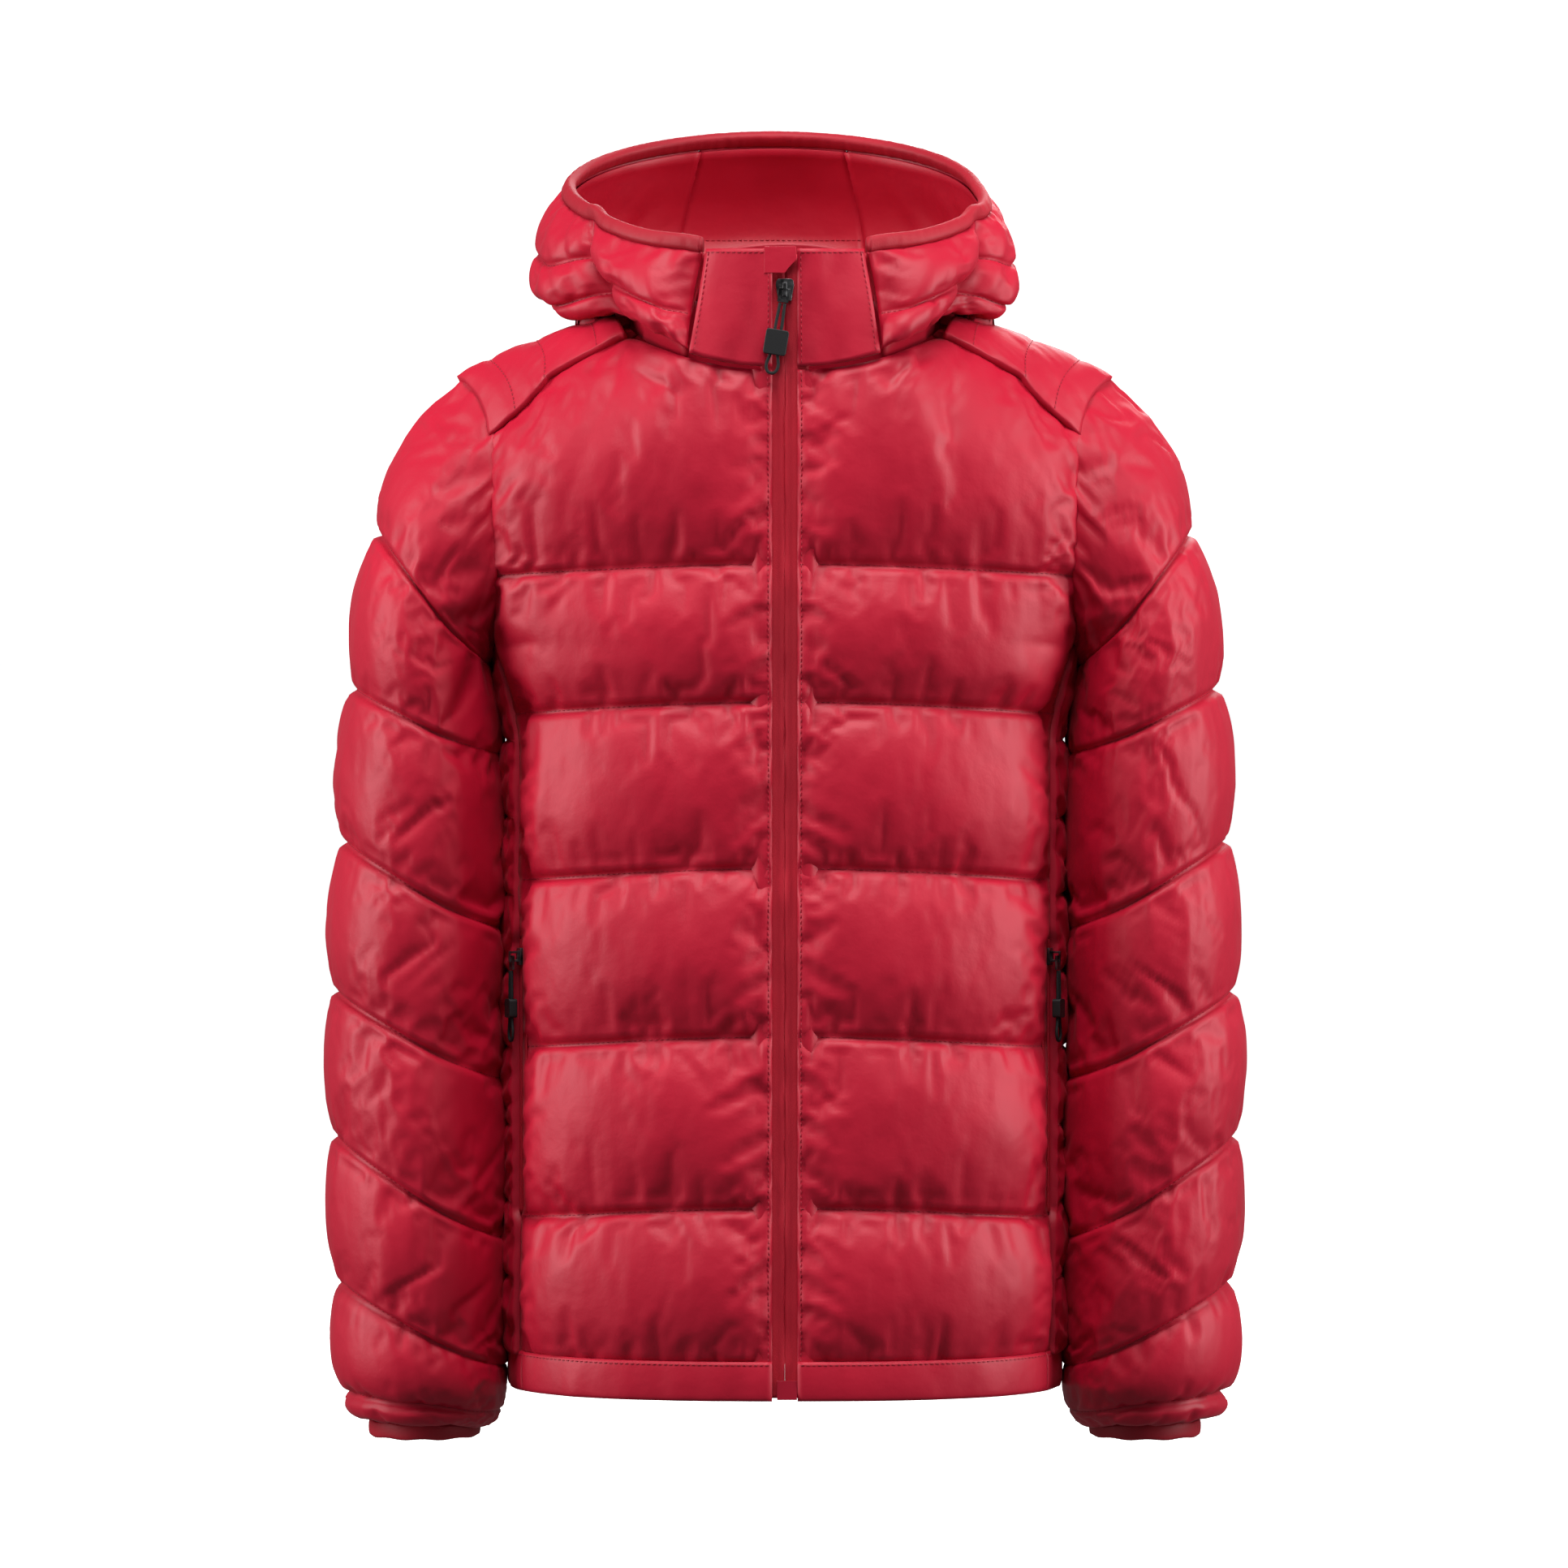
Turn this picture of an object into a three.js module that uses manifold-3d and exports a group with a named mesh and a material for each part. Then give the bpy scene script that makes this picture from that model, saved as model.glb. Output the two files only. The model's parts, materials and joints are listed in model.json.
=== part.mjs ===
// A hooded, quilted ski jacket, built panel by panel as it is sewn.
// Millimetres, +Z up, -Y is the front, +X is the wearer's left. The origin is in the hanger loop.
import * as THREE from 'three';
import { mergeVertices } from 'three/addons/utils/BufferGeometryUtils.js';
import Module from 'manifold-3d';

const wasm = await Module();
wasm.setup();

// ---- driving dimensions: body ----
const hemBottomZ = -716; // lower edge of the hem band
const hemSeamZ = -692; // seam between the panels and the hem band
const quiltSeamZ = [-595, -487, -381, -276, -189]; // quilting seams at the zip, from the hem up
const quiltDroop = 9; // how far a quilting seam falls towards the side
const bodyHalfWidth = 178; // half the width below the armhole
const chestHalfWidth = 215; // half the width of the section that runs on into the sleeve heads
const armpitHalfWidth = 187; // half the width at the lowest point of the armhole
const armpitZ = -240; // lowest point of the armhole
const sectionPower = 2.5; // squareness of the body's cross-section
const frontTopY = -168; // front surface at the top of the zip
const frontLean = 0.055; // how much further forward the front lies for each millimetre down
const backY = 46; // back surface well below the neck
const backNeckDrop = 30; // how far the back neck lies in front of the back
const sideSeamX = 171; // side seam
const armholeX = 187; // front armhole seam

// ---- driving dimensions: shoulder, neck, collar and hood ----
const neckHalfWidth = 108;
const neckFrontZ = -66.5;
const neckSideZ = -30;
const shoulderZ = -69; // outer end of the shoulder
const shoulderX = 211;
const shoulderRound = 120; // height over which the body closes towards the shoulder line
const collarTopZ = 10; // top edge of the chin panels
const chinHalfWidth = 50; // chin panel at its top edge
const chinAngle = 34; // chin panel's share of the neck seam, in degrees from the front
const chinTopAngle = 22; // the same at the hood's rim
const creaseAngle = 66; // where the collar side tucks under the hood
const rimHalfWidth = 136;
const rimCentreY = -35;
const rimHalfDepth = 130;
const rimCentreZ = 47;
const rimHalfRise = 41;
const hoodCentreAngle = 159; // where the hood's centre panel starts, in degrees from the front

// ---- driving dimensions: sleeves ----
// Each ring is [outer x, outer z, inner x, inner z, centre y, half depth], from the first quilt seam down.
const sleeveRings = [
  [263, -170, 190, -256, -68, 76],
  [280, -270, 186, -312, -70, 77],
  [286, -368, 184, -424, -74, 76],
  [291, -464, 183, -520, -78, 75],
  [291.5, -557, 183, -622, -82, 73],
  [289, -650, 183, -704, -84, 68],
  [284, -722, 186, -731, -85, 60],
];
const cuffOuterX = 270;
const cuffInnerX = 193;
const cuffTopZ = -740;
const cuffBottomZ = -749;
const cuffHalfDepth = 44;

// ---- driving dimensions: layers ----
const fill = 10; // quilted panel with its filling
const liningThickness = 1.2;
const layerGap = 0.5; // between a lining and its panel
const hoodGap = 0.9; // between the hood's lining and its shell
const seamGap = 0.35; // half the gap between two sewn panels
const seamDepth = 3; // how deep a quilting seam draws the shell in
const bandThickness = 4;
const bindingThickness = 3;

// ---- driving dimensions: zips ----
const mainZip = { edge: 8, tapeOuter: 15, coil: 3.2, sliderWidth: 11.5, sliderLength: 14 };
const pocketZip = { length: 160, edge: 4.6, tapeOuter: 9, coil: 2.6, sliderWidth: 8, sliderLength: 11 };
const zipTopZ = -16; // middle of the front slider when the zip is closed
const pocketTopZ = -440; // middle of a pocket slider when the pocket is closed
const placketThickness = 3; // panel edge beside a zip, without filling
const tapeThickness = 0.8;
const tapeDepth = 3.4; // front of the tape behind the outer surface
const coilDepth = 4.6;
const coilThickness = 1.7;
const toothGap = 0.6; // from the zip's centre line to each coil
const cordDiameter = 2;

const rad = (degrees) => (degrees * Math.PI) / 180;
const vec = (x, y, z) => new THREE.Vector3(x, y, z);
const mix = (a, b, t) => a + (b - a) * t;
const smooth = (a, b, x) => {
  const t = Math.min(1, Math.max(0, (x - a) / (b - a)));
  return t * t * (3 - 2 * t);
};

// Evenly spaced values from one to another.
const spread = (from, to, steps) => Array.from({ length: steps + 1 }, (_, i) => mix(from, to, i / steps));

// ---- materials ----
const shellRed = 0xa8112b;
const liningRed = 0x9c0f26;
const bindingRed = 0x8a0c20;
const looks = {
  shell: { color: shellRed, roughness: 0.42, metalness: 0 },
  lining: { color: liningRed, roughness: 0.5, metalness: 0 },
  binding: { color: bindingRed, roughness: 0.6, metalness: 0 },
  tape: { color: 0x9a1026, roughness: 0.8, metalness: 0 },
  coil: { color: 0x8c0e22, roughness: 0.4, metalness: 0 },
  metal: { color: 0x2a2a2c, roughness: 0.3, metalness: 1 },
  cord: { color: 0x0c0c0d, roughness: 0.8, metalness: 0 },
  grip: { color: 0x111112, roughness: 0.5, metalness: 0 },
};

const jacket = new THREE.Group();

function addMesh(name, look, geometry, parent = jacket) {
  const mesh = new THREE.Mesh(geometry, new THREE.MeshStandardMaterial(looks[look]));
  mesh.name = name;
  parent.add(mesh);
  return mesh;
}

// ---- closed solids from two grids of points ----
// outer and inner are arrays of rows of points; rows and columns run so that outer faces away from inner.
function slab(outer, inner, closed = false) {
  const rows = outer.length;
  const cols = outer[0].length;
  const points = [...outer.flat(), ...inner.flat()];
  const at = (side, r, c) => side * rows * cols + r * cols + (c % cols);
  const faces = [];
  const quad = (a, b, c, d) => faces.push(a, b, c, a, c, d);
  const spans = closed ? cols : cols - 1;
  for (let r = 0; r < rows - 1; r += 1) {
    for (let c = 0; c < spans; c += 1) {
      quad(at(0, r, c), at(0, r, c + 1), at(0, r + 1, c + 1), at(0, r + 1, c));
      quad(at(1, r, c), at(1, r + 1, c), at(1, r + 1, c + 1), at(1, r, c + 1));
    }
  }
  for (let c = 0; c < spans; c += 1) {
    quad(at(0, 0, c + 1), at(0, 0, c), at(1, 0, c), at(1, 0, c + 1));
    quad(at(0, rows - 1, c), at(0, rows - 1, c + 1), at(1, rows - 1, c + 1), at(1, rows - 1, c));
  }
  if (!closed) {
    for (let r = 0; r < rows - 1; r += 1) {
      quad(at(0, r, 0), at(0, r + 1, 0), at(1, r + 1, 0), at(1, r, 0));
      quad(at(0, r + 1, cols - 1), at(0, r, cols - 1), at(1, r, cols - 1), at(1, r + 1, cols - 1));
    }
  }
  const geometry = new THREE.BufferGeometry();
  const numbers = points.flatMap((p) => [p.x, p.y, p.z]);
  geometry.setAttribute('position', new THREE.Float32BufferAttribute(numbers, 3));
  geometry.setIndex(faces);
  return faceOut(geometry);
}

// Turns a closed mesh the right way out by the sign of its volume.
function faceOut(geometry) {
  const position = geometry.getAttribute('position');
  const index = geometry.getIndex().array;
  const corner = (i) => vec(position.getX(i), position.getY(i), position.getZ(i));
  let volume = 0;
  for (let i = 0; i < index.length; i += 3) {
    volume += corner(index[i]).dot(corner(index[i + 1]).cross(corner(index[i + 2])));
  }
  if (volume < 0) {
    for (let i = 0; i < index.length; i += 3) {
      [index[i + 1], index[i + 2]] = [index[i + 2], index[i + 1]];
    }
  }
  return geometry;
}

// Draws the border of a grid in by the seam gap, so that sewn neighbours stay apart.
function drawIn(grid, gap, closed = false) {
  const pull = (a, b) => a.clone().add(b.clone().sub(a).normalize().multiplyScalar(gap));
  const out = grid.map((row) => row.map((p) => p.clone()));
  const last = grid.length - 1;
  grid[0].forEach((p, c) => {
    out[0][c] = pull(p, grid[1][c]);
    out[last][c] = pull(grid[last][c], grid[last - 1][c]);
  });
  if (!closed) {
    out.forEach((row) => {
      row[0] = pull(row[0], row[1]);
      row[row.length - 1] = pull(row[row.length - 1], row[row.length - 2]);
    });
  }
  return out;
}

const offsetGrid = (grid, normals, depth) =>
  grid.map((row, r) => row.map((p, c) => {
    const d = typeof depth === 'function' ? depth(r, c, p) : depth;
    return p.clone().addScaledVector(normals[r][c], -d);
  }));

// ---- manifold solids ----
function solid(geometry) {
  const plain = geometry.clone();
  plain.deleteAttribute('normal');
  plain.deleteAttribute('uv');
  const merged = mergeVertices(plain, 1e-4);
  return new wasm.Manifold(new wasm.Mesh({
    numProp: 3,
    vertProperties: new Float32Array(merged.getAttribute('position').array),
    triVerts: new Uint32Array(merged.getIndex().array),
  }));
}

const sliver = 0.01; // edges shorter than this are closed up after a cut

function fromSolid(body) {
  const mesh = body.simplify(sliver).getMesh();
  const geometry = new THREE.BufferGeometry();
  geometry.setAttribute('position', new THREE.BufferAttribute(new Float32Array(mesh.vertProperties), 3));
  geometry.setIndex(new THREE.BufferAttribute(new Uint32Array(mesh.triVerts), 1));
  return geometry;
}

const boxAt = (x, y, z, dx, dy, dz) => new THREE.BoxGeometry(dx, dy, dz).translate(x, y, z);

// ---- the body's outer surface ----
const frontY = (z) => frontTopY + frontLean * (z - collarTopZ);
const backAt = (z) => backY - backNeckDrop * Math.exp(Math.min(z, 0) / 70);
const middleY = (z) => (frontY(z) + backAt(z)) / 2;
const halfDepth = (z) => (backAt(z) - frontY(z)) / 2;

function halfWidth(z) {
  const arm = mix(bodyHalfWidth, armpitHalfWidth, smooth(armpitZ - 60, armpitZ, z));
  return arm + (chestHalfWidth - armpitHalfWidth) * Math.min(1, Math.max(0, (z - armpitZ) / 50));
}

function ridgeZ(x) {
  const out = Math.max(0, x - neckHalfWidth);
  const inside = Math.max(0, 1 - (x / neckHalfWidth) ** 2);
  const reach = shoulderX - neckHalfWidth;
  const fall = neckSideZ - shoulderZ;
  return neckSideZ - fall * (0.65 * out / reach + 0.35 * (out / reach) ** 2) + 230 * inside ** 2;
}

const closing = (x, z) => Math.max(0, (z - ridgeZ(x) + shoulderRound) / shoulderRound);

function depthAt(x, z) {
  const across = Math.max(0, 1 - (x / halfWidth(z)) ** sectionPower) ** (1 / sectionPower);
  return halfDepth(z) * across * Math.sqrt(Math.max(0, 1 - closing(x, z) ** 2));
}

// A point on the surface; side is -1 on the front and +1 on the back. x may have either sign.
const onBody = (x, z, side) => vec(x, middleY(z) + side * depthAt(Math.abs(x), z), z);

// Distance-like measure that is 0 on the surface, for its normal.
function bodyField(p) {
  const x = Math.abs(p.x);
  const wide = (x / halfWidth(p.z)) ** sectionPower;
  const deep = Math.abs(p.y - middleY(p.z)) / halfDepth(p.z);
  const top = closing(x, p.z);
  if (top > 0.3) {
    const across = (1 - wide) ** (1 / sectionPower);
    return Math.hypot(deep / across, top);
  }
  const open = Math.sqrt(1 - top * top);
  return (wide + (deep / open) ** sectionPower) ** (1 / sectionPower);
}

function bodyNormal(p) {
  const h = 0.4;
  const at = (dx, dy, dz) => bodyField(vec(p.x + dx, p.y + dy, p.z + dz));
  const d = (dx, dy, dz) => at(dx, dy, dz) - at(-dx, -dy, -dz);
  return vec(d(h, 0, 0), d(0, h, 0), d(0, 0, h)).normalize();
}

// Normals of a grid from its neighbours, turned to face away from the point that inside gives for each row.
function gridNormals(grid, away) {
  const rows = grid.length;
  const cols = grid[0].length;
  return grid.map((row, r) => row.map((p, c) => {
    const up = grid[Math.min(rows - 1, r + 1)][c].clone().sub(grid[Math.max(0, r - 1)][c]);
    const along = row[Math.min(cols - 1, c + 1)].clone().sub(row[Math.max(0, c - 1)]);
    const n = up.cross(along).normalize();
    return n.dot(p.clone().sub(away(p))) < 0 ? n.negate() : n;
  }));
}

// ---- rows that follow the quilting ----
const baffleSteps = [0, 0.2, 0.5, 0.8];

// Heights of all rows for one column: z on each quilting seam, with rows between them.
function rowHeights(x, top) {
  const droop = quiltDroop * (x / bodyHalfWidth) ** 2;
  const levels = [hemSeamZ, ...quiltSeamZ.map((z) => z - droop), top];
  return levels.slice(0, -1).flatMap((z, k) => baffleSteps.map((t) => mix(z, levels[k + 1], t))).concat(top);
}

const seamInset = (row) => (row % baffleSteps.length === 0 ? seamDepth : 0);

const armholeEdgeX = (z) => armholeX + (shoulderX - armholeX) * Math.exp((Math.min(z, shoulderZ) - shoulderZ) / 16);

const frontEdgeX = (z) => mix(sideSeamX, armholeEdgeX(z), smooth(armpitZ - 70, armpitZ + 20, z));

const neckFrontAt = (x) => neckFrontZ + (neckSideZ - neckFrontZ) * (x / neckHalfWidth) ** 2.3;
const neckBackAt = (x) => neckSideZ * (x / neckHalfWidth) ** 2;

const yokeFrontX = 91; // where the front yoke seam leaves the neck seam
const yokeFrontEndZ = -107; // where it meets the armhole
const yokeBackX = 70;
const yokeBackEndZ = -135;
// Shares of the way from the zip to the armhole; the second column is where the zip tape ends.
const tapeShare = (mainZip.tapeOuter + 1.6 - mainZip.edge) / (armholeX - mainZip.edge);
const columnShares = [0, tapeShare, 0.17, 0.32, 0.46, 0.62, 0.82, 1];
const yokeColumn = 4; // the column where the yoke seam leaves the neck seam

function panelTop(x, side) {
  const neck = side < 0 ? neckFrontAt(x) : neckBackAt(x);
  const start = side < 0 ? yokeFrontX : yokeBackX;
  const end = side < 0 ? yokeFrontEndZ : yokeBackEndZ;
  if (x <= start) return neck;
  const t = (x - start) / (armholeX - start);
  return mix(side < 0 ? neckFrontAt(start) : neckBackAt(start), end, t ** 1.12);
}

// Grid of a front or back half panel from x = inner to the side, in rows from the hem up.
function halfPanelGrid(sign, side, inner) {
  const start = side < 0 ? yokeFrontX : yokeBackX;
  const shares = [...columnShares];
  shares[yokeColumn] = (start - inner) / (armholeX - inner);
  shares[yokeColumn + 1] = mix(shares[yokeColumn], 1, 0.36);
  shares[yokeColumn + 2] = mix(shares[yokeColumn], 1, 0.7);
  shares[yokeColumn - 1] = mix(shares[yokeColumn - 2], shares[yokeColumn], 0.5);
  const columns = shares.map((share) => {
    const nominal = mix(inner, armholeX, share);
    return rowHeights(nominal, panelTop(nominal, side)).map((z) => {
      const x = inner + (frontEdgeX(z) - inner) * share;
      return onBody(sign * x, z, side);
    });
  });
  return columns[0].map((_, r) => columns.map((column) => column[r]));
}

// Makes one quilted panel on the body from its grid.
function bodyPanel(grid, thickness, start = 0, inset = seamInset, gap = seamGap) {
  const normals = grid.map((row) => row.map(bodyNormal));
  const drawn = drawIn(grid, gap);
  const outer = offsetGrid(drawn, normals, (r, c) => start + inset(r, c));
  const thick = typeof thickness === 'function' ? thickness : () => thickness;
  const inner = offsetGrid(drawn, normals, (r, c) => start + thick(c));
  return slab(outer, inner);
}

// A lining behind a panel: it isn't quilted, so below the chest it needs only half the rows.
const everyOther = (rows) => rows.filter((_, r) => r % 2 === 0 || r >= 3 * baffleSteps.length);
function liningPanel(grid) {
  const depth = fill + layerGap;
  const normals = grid.map((row) => row.map(bodyNormal));
  const drawn = drawIn(grid, 2 * seamGap);
  return slab(offsetGrid(drawn, normals, depth), offsetGrid(drawn, normals, depth + liningThickness));
}

// Panels beside the zip are thin as far as the tape reaches, over their first two columns.
const besideZip = (full) => (column) => (column < 2 ? placketThickness : full);

// ---- pocket frames ----
const pocketPlace = (sign) => {
  const topPoint = onBody(sign * sideSeamX, pocketTopZ, -1);
  const endPoint = onBody(sign * sideSeamX, pocketTopZ - pocketZip.length, -1);
  const up = topPoint.clone().sub(endPoint).normalize();
  const out = bodyNormal(topPoint).add(bodyNormal(endPoint)).normalize();
  out.addScaledVector(up, -out.dot(up)).normalize();
  const back = out.clone().negate();
  const across = back.clone().cross(up).normalize();
  return new THREE.Matrix4().makeBasis(across, back, up).setPosition(topPoint);
};
const mainUp = vec(0, frontLean, 1).normalize();
const mainPlace = new THREE.Matrix4()
  .makeBasis(vec(1, 0, 0), mainUp.clone().cross(vec(1, 0, 0)).normalize(), mainUp)
  .setPosition(0, frontY(zipTopZ), zipTopZ);

// Block on a pocket's zip, as long as its opening, for cutting the panels around it.
const pocketMiddle = 6 - pocketZip.length / 2;
const pocketOpening = pocketZip.length + 24;
const cutDepth = 60; // deeper than any panel
const pocketBlock = (sign, depth, width) => solid(
  boxAt(0, depth, pocketMiddle, width, cutDepth, pocketOpening).applyMatrix4(pocketPlace(sign)),
);
const pocketSlot = (sign) => pocketBlock(sign, 0, 2 * pocketZip.edge);
// Room behind the panels for the tape, coil and slider of a pocket zip.
const pocketRecess = (sign) => {
  const room = 2 * (pocketZip.tapeOuter + seamGap);
  return pocketBlock(sign, placketThickness + cutDepth / 2, room);
};

// ---- pocket bags ----
const bagTop = pocketTopZ + 5;
const bagBottom = pocketTopZ - pocketZip.length - 30;
const bagInnerX = 62;
const bagOuterX = sideSeamX - 19;
const bagDepth = 6.6;
const bagThickness = 2.4;

function bagSolid(sign, grow) {
  const rows = [0, 0.25, 0.5, 0.75, 1].map((t) => mix(bagBottom - grow, bagTop + grow, t));
  const shares = [0, 0.25, 0.5, 0.75, 1];
  const grid = rows.map((z) => shares.map((s) => onBody(sign * mix(bagInnerX - grow, bagOuterX + grow, s), z, -1)));
  const normals = grid.map((row) => row.map(bodyNormal));
  const deep = grow > 0 ? fill + 4 : bagDepth + bagThickness;
  return slab(offsetGrid(grid, normals, bagDepth - grow), offsetGrid(grid, normals, deep));
}

// ---- body panels ----
const sides = [['left', 1], ['right', -1]];

for (const [name, sign] of sides) {
  const grid = halfPanelGrid(sign, -1, mainZip.edge);
  const whole = solid(bodyPanel(grid, besideZip(fill), 0, (row, column) => (column < 2 ? 0 : seamInset(row))));
  const cut = whole.subtract(pocketSlot(sign)).subtract(pocketRecess(sign)).subtract(solid(bagSolid(sign, 0.35)));
  addMesh(`front_panel_${name}`, 'shell', fromSolid(cut));
  addMesh(`pocket_bag_${name}`, 'lining', bagSolid(sign, 0));

  const lining = solid(liningPanel(everyOther(grid).map((row) => row.slice(2))));
  const keepOff = pocketBlock(sign, cutDepth / 3, 2 * pocketZip.tapeOuter);
  addMesh(`front_lining_${name}`, 'lining', fromSolid(lining.subtract(keepOff)));
}

function fullBackGrid() {
  const left = halfPanelGrid(1, 1, 0);
  const right = halfPanelGrid(-1, 1, 0);
  return left.map((row, r) => [...right[r].slice(1).reverse(), ...row]);
}
const backGrid = fullBackGrid();
addMesh('back_panel', 'shell', bodyPanel(backGrid, fill));
addMesh('back_lining', 'lining', liningPanel(everyOther(backGrid)));

// Side panels and yokes hold their own lining, so they are one thicker solid.
const linedThickness = fill + layerGap + liningThickness;

// Side panels run from the front side seam to the back side seam, under the arm.
function sideGrid(sign) {
  const columns = spread(-1, 1, 8).map((t) => {
    const seamAt = (z) => {
      const edge = onBody(frontEdgeX(z), z, -1);
      const reach = Math.abs(edge.y - middleY(z)) * t;
      const share = Math.abs(reach) / halfDepth(z);
      const x = halfWidth(z) * Math.max(0, 1 - share ** sectionPower) ** (1 / sectionPower);
      return vec(sign * x, middleY(z) + reach, z);
    };
    return rowHeights(armholeX, panelTop(armholeX, -1)).filter((z) => z < armpitZ).map(seamAt);
  });
  return columns[0].map((_, r) => columns.map((column) => column[r]));
}
for (const [name, sign] of sides) {
  const whole = solid(bodyPanel(sideGrid(sign), linedThickness));
  addMesh(`side_panel_${name}`, 'shell', fromSolid(whole.subtract(pocketSlot(sign)).subtract(pocketRecess(sign))));
}

// Yokes go over the shoulder from the front yoke seam to the back yoke seam.
function yokeGrid(sign) {
  const around = [-0.75, -0.5, -0.25, 0, 0.25, 0.5, 0.75];
  const turnAt = (x, z) => Math.acos(Math.min(1, Math.max(-1, closing(x, z))));
  const seamRow = (side, inner) => halfPanelGrid(sign, side, inner).pop().slice(yokeColumn);
  const across = [0, 0.36, 0.7, 1];
  const base = (t, side, s) => {
    const seamStart = side < 0 ? yokeFrontX : yokeBackX;
    const endZ = side < 0 ? yokeFrontEndZ : yokeBackEndZ;
    const innerX = neckHalfWidth - (neckHalfWidth - seamStart) * t * t;
    const outerZ = mix(shoulderZ, endZ, t * t);
    const outerX = armholeEdgeX(outerZ);
    const innerTurn = turnAt(innerX, side < 0 ? neckFrontAt(innerX) : neckBackAt(innerX));
    return { x: mix(innerX, outerX, s), turn: mix(innerTurn, turnAt(outerX, outerZ), s) };
  };
  const seams = { [-1]: seamRow(-1, mainZip.edge), 1: seamRow(1, 0) };
  const rows = around.map((t) => across.map((s, i) => {
    const side = t < 0 ? -1 : 1;
    const here = base(t, side, s);
    const atSeam = base(1, side, s);
    const seam = seams[side][i];
    const x = here.x + (Math.abs(seam.x) - atSeam.x) * t * t;
    const turn = here.turn + (turnAt(Math.abs(seam.x), seam.z) - atSeam.turn) * t * t;
    return onBody(sign * x, ridgeZ(x) - shoulderRound * (1 - Math.cos(turn)), side);
  }));
  return [seams[-1], ...rows, seams[1]];
}
for (const [name, sign] of sides) {
  addMesh(`yoke_${name}`, 'shell', bodyPanel(yokeGrid(sign), linedThickness, 0, () => 0, 3 * seamGap));
}

// Hem bands: a turned-up band below the hem seam.
function hemBand(turns) {
  const rows = [hemBottomZ, mix(hemBottomZ, hemSeamZ, 0.5), hemSeamZ - 0.2];
  return rows.map((z) => turns.map((degrees) => {
    const turn = rad(degrees);
    const power = 2 / sectionPower;
    const x = halfWidth(z) * Math.sign(Math.sin(turn)) * Math.abs(Math.sin(turn)) ** power;
    const y = middleY(z) - halfDepth(z) * Math.sign(Math.cos(turn)) * Math.abs(Math.cos(turn)) ** power;
    return vec(x, y, z);
  }));
}
const sideTurn = 68; // where the side seam meets the hem, in degrees round from the front
const turnOf = (x) => (180 / Math.PI) * Math.asin((x / bodyHalfWidth) ** (sectionPower / 2));
for (const [name, sign] of sides) {
  const turns = [turnOf(mainZip.edge), ...spread(turnOf(mainZip.tapeOuter + 1.2), sideTurn, 12)];
  const grid = hemBand(turns.map((turn) => sign * turn));
  addMesh(`hem_band_${name}`, 'shell', bodyPanel(grid, besideZip(bandThickness), 0, () => 0));
}
const backHem = hemBand(spread(sideTurn, 360 - sideTurn, 26));
addMesh('hem_band_back', 'shell', bodyPanel(backHem, bandThickness, 0, () => 0));

// ---- neck ring and hood ----
// Point on the neck seam at an angle from the front; the sign of the angle is the side.
function neckPoint(angle) {
  const x = neckHalfWidth * Math.sin(rad(angle));
  const front = Math.cos(rad(angle)) >= 0;
  const reach = Math.abs(x);
  const p = onBody(x, front ? neckFrontAt(reach) : neckBackAt(reach), front ? -1 : 1);
  return p.add(vec(0, 0, collarLift));
}
const collarLift = 2.2; // the collar stands this far above the neck seam

const rimPoint = (angle) => vec(
  rimHalfWidth * Math.sin(rad(angle)),
  rimCentreY - rimHalfDepth * Math.cos(rad(angle)),
  rimCentreZ - rimHalfRise * Math.cos(rad(angle)),
);

// How far the hood and collar bulge at an angle: out and up at the neck seam, out and down at the rim.
function bulge(angle) {
  const a = angle > 180 ? 360 - angle : Math.abs(angle);
  const hood = smooth(creaseAngle, creaseAngle + 18, a);
  const back = smooth(90, 170, a);
  const pinch = (centre, width) => 1 - Math.exp(-(((a - centre) / width) ** 2));
  const ease = pinch(creaseAngle, 4) * (a < creaseAngle ? pinch(chinAngle - 6, 9) : 1);
  return {
    lowOut: mix(13, mix(46, 100, back), hood) * ease,
    lowUp: mix(14, mix(3, -55, smooth(125, 178, a)), hood),
    highOut: mix(13, mix(24, 50, back), hood) * ease,
    highUp: mix(-24, mix(-38, -50, back), hood),
  };
}

function hoodPoint(angle, s) {
  const low = neckPoint(angle);
  const high = rimPoint(angle);
  const out = vec(Math.sin(rad(angle)), -Math.cos(rad(angle)), 0);
  const b = bulge(angle);
  const c1 = low.clone().addScaledVector(out, b.lowOut).add(vec(0, 0, b.lowUp));
  const c2 = high.clone().addScaledVector(out, b.highOut).add(vec(0, 0, b.highUp));
  return new THREE.CubicBezierCurve3(low, c1, c2, high).getPoint(s);
}

const hoodAxis = (p) => vec(0, rimCentreY - 5, p.z);
const hoodRows = [0, 0.12, 0.25, 0.38, 0.5, 0.62, 0.75, 0.88, 1];
const chinEdge = (s) => mix(chinAngle, chinTopAngle, s) + 1;
const rimShare = 0.985; // the shell ends here, under the edge binding

function hoodNormal(angle, s) {
  const around = hoodPoint(angle + 0.4, s).sub(hoodPoint(angle - 0.4, s));
  const up = hoodPoint(angle, Math.min(1, s + 0.01)).sub(hoodPoint(angle, Math.max(0, s - 0.01)));
  return around.cross(up).normalize();
}

// Strip of the hood or collar between two angles, which may change with height.
function hoodStrip(fromAngle, toAngle, steps) {
  const place = (s, i) => [mix(fromAngle(s), toAngle(s), i / steps), s * rimShare];
  const each = (make) => hoodRows.map((s) => Array.from({ length: steps + 1 }, (_, i) => make(...place(s, i))));
  return { grid: each(hoodPoint), normals: each(hoodNormal) };
}

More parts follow.
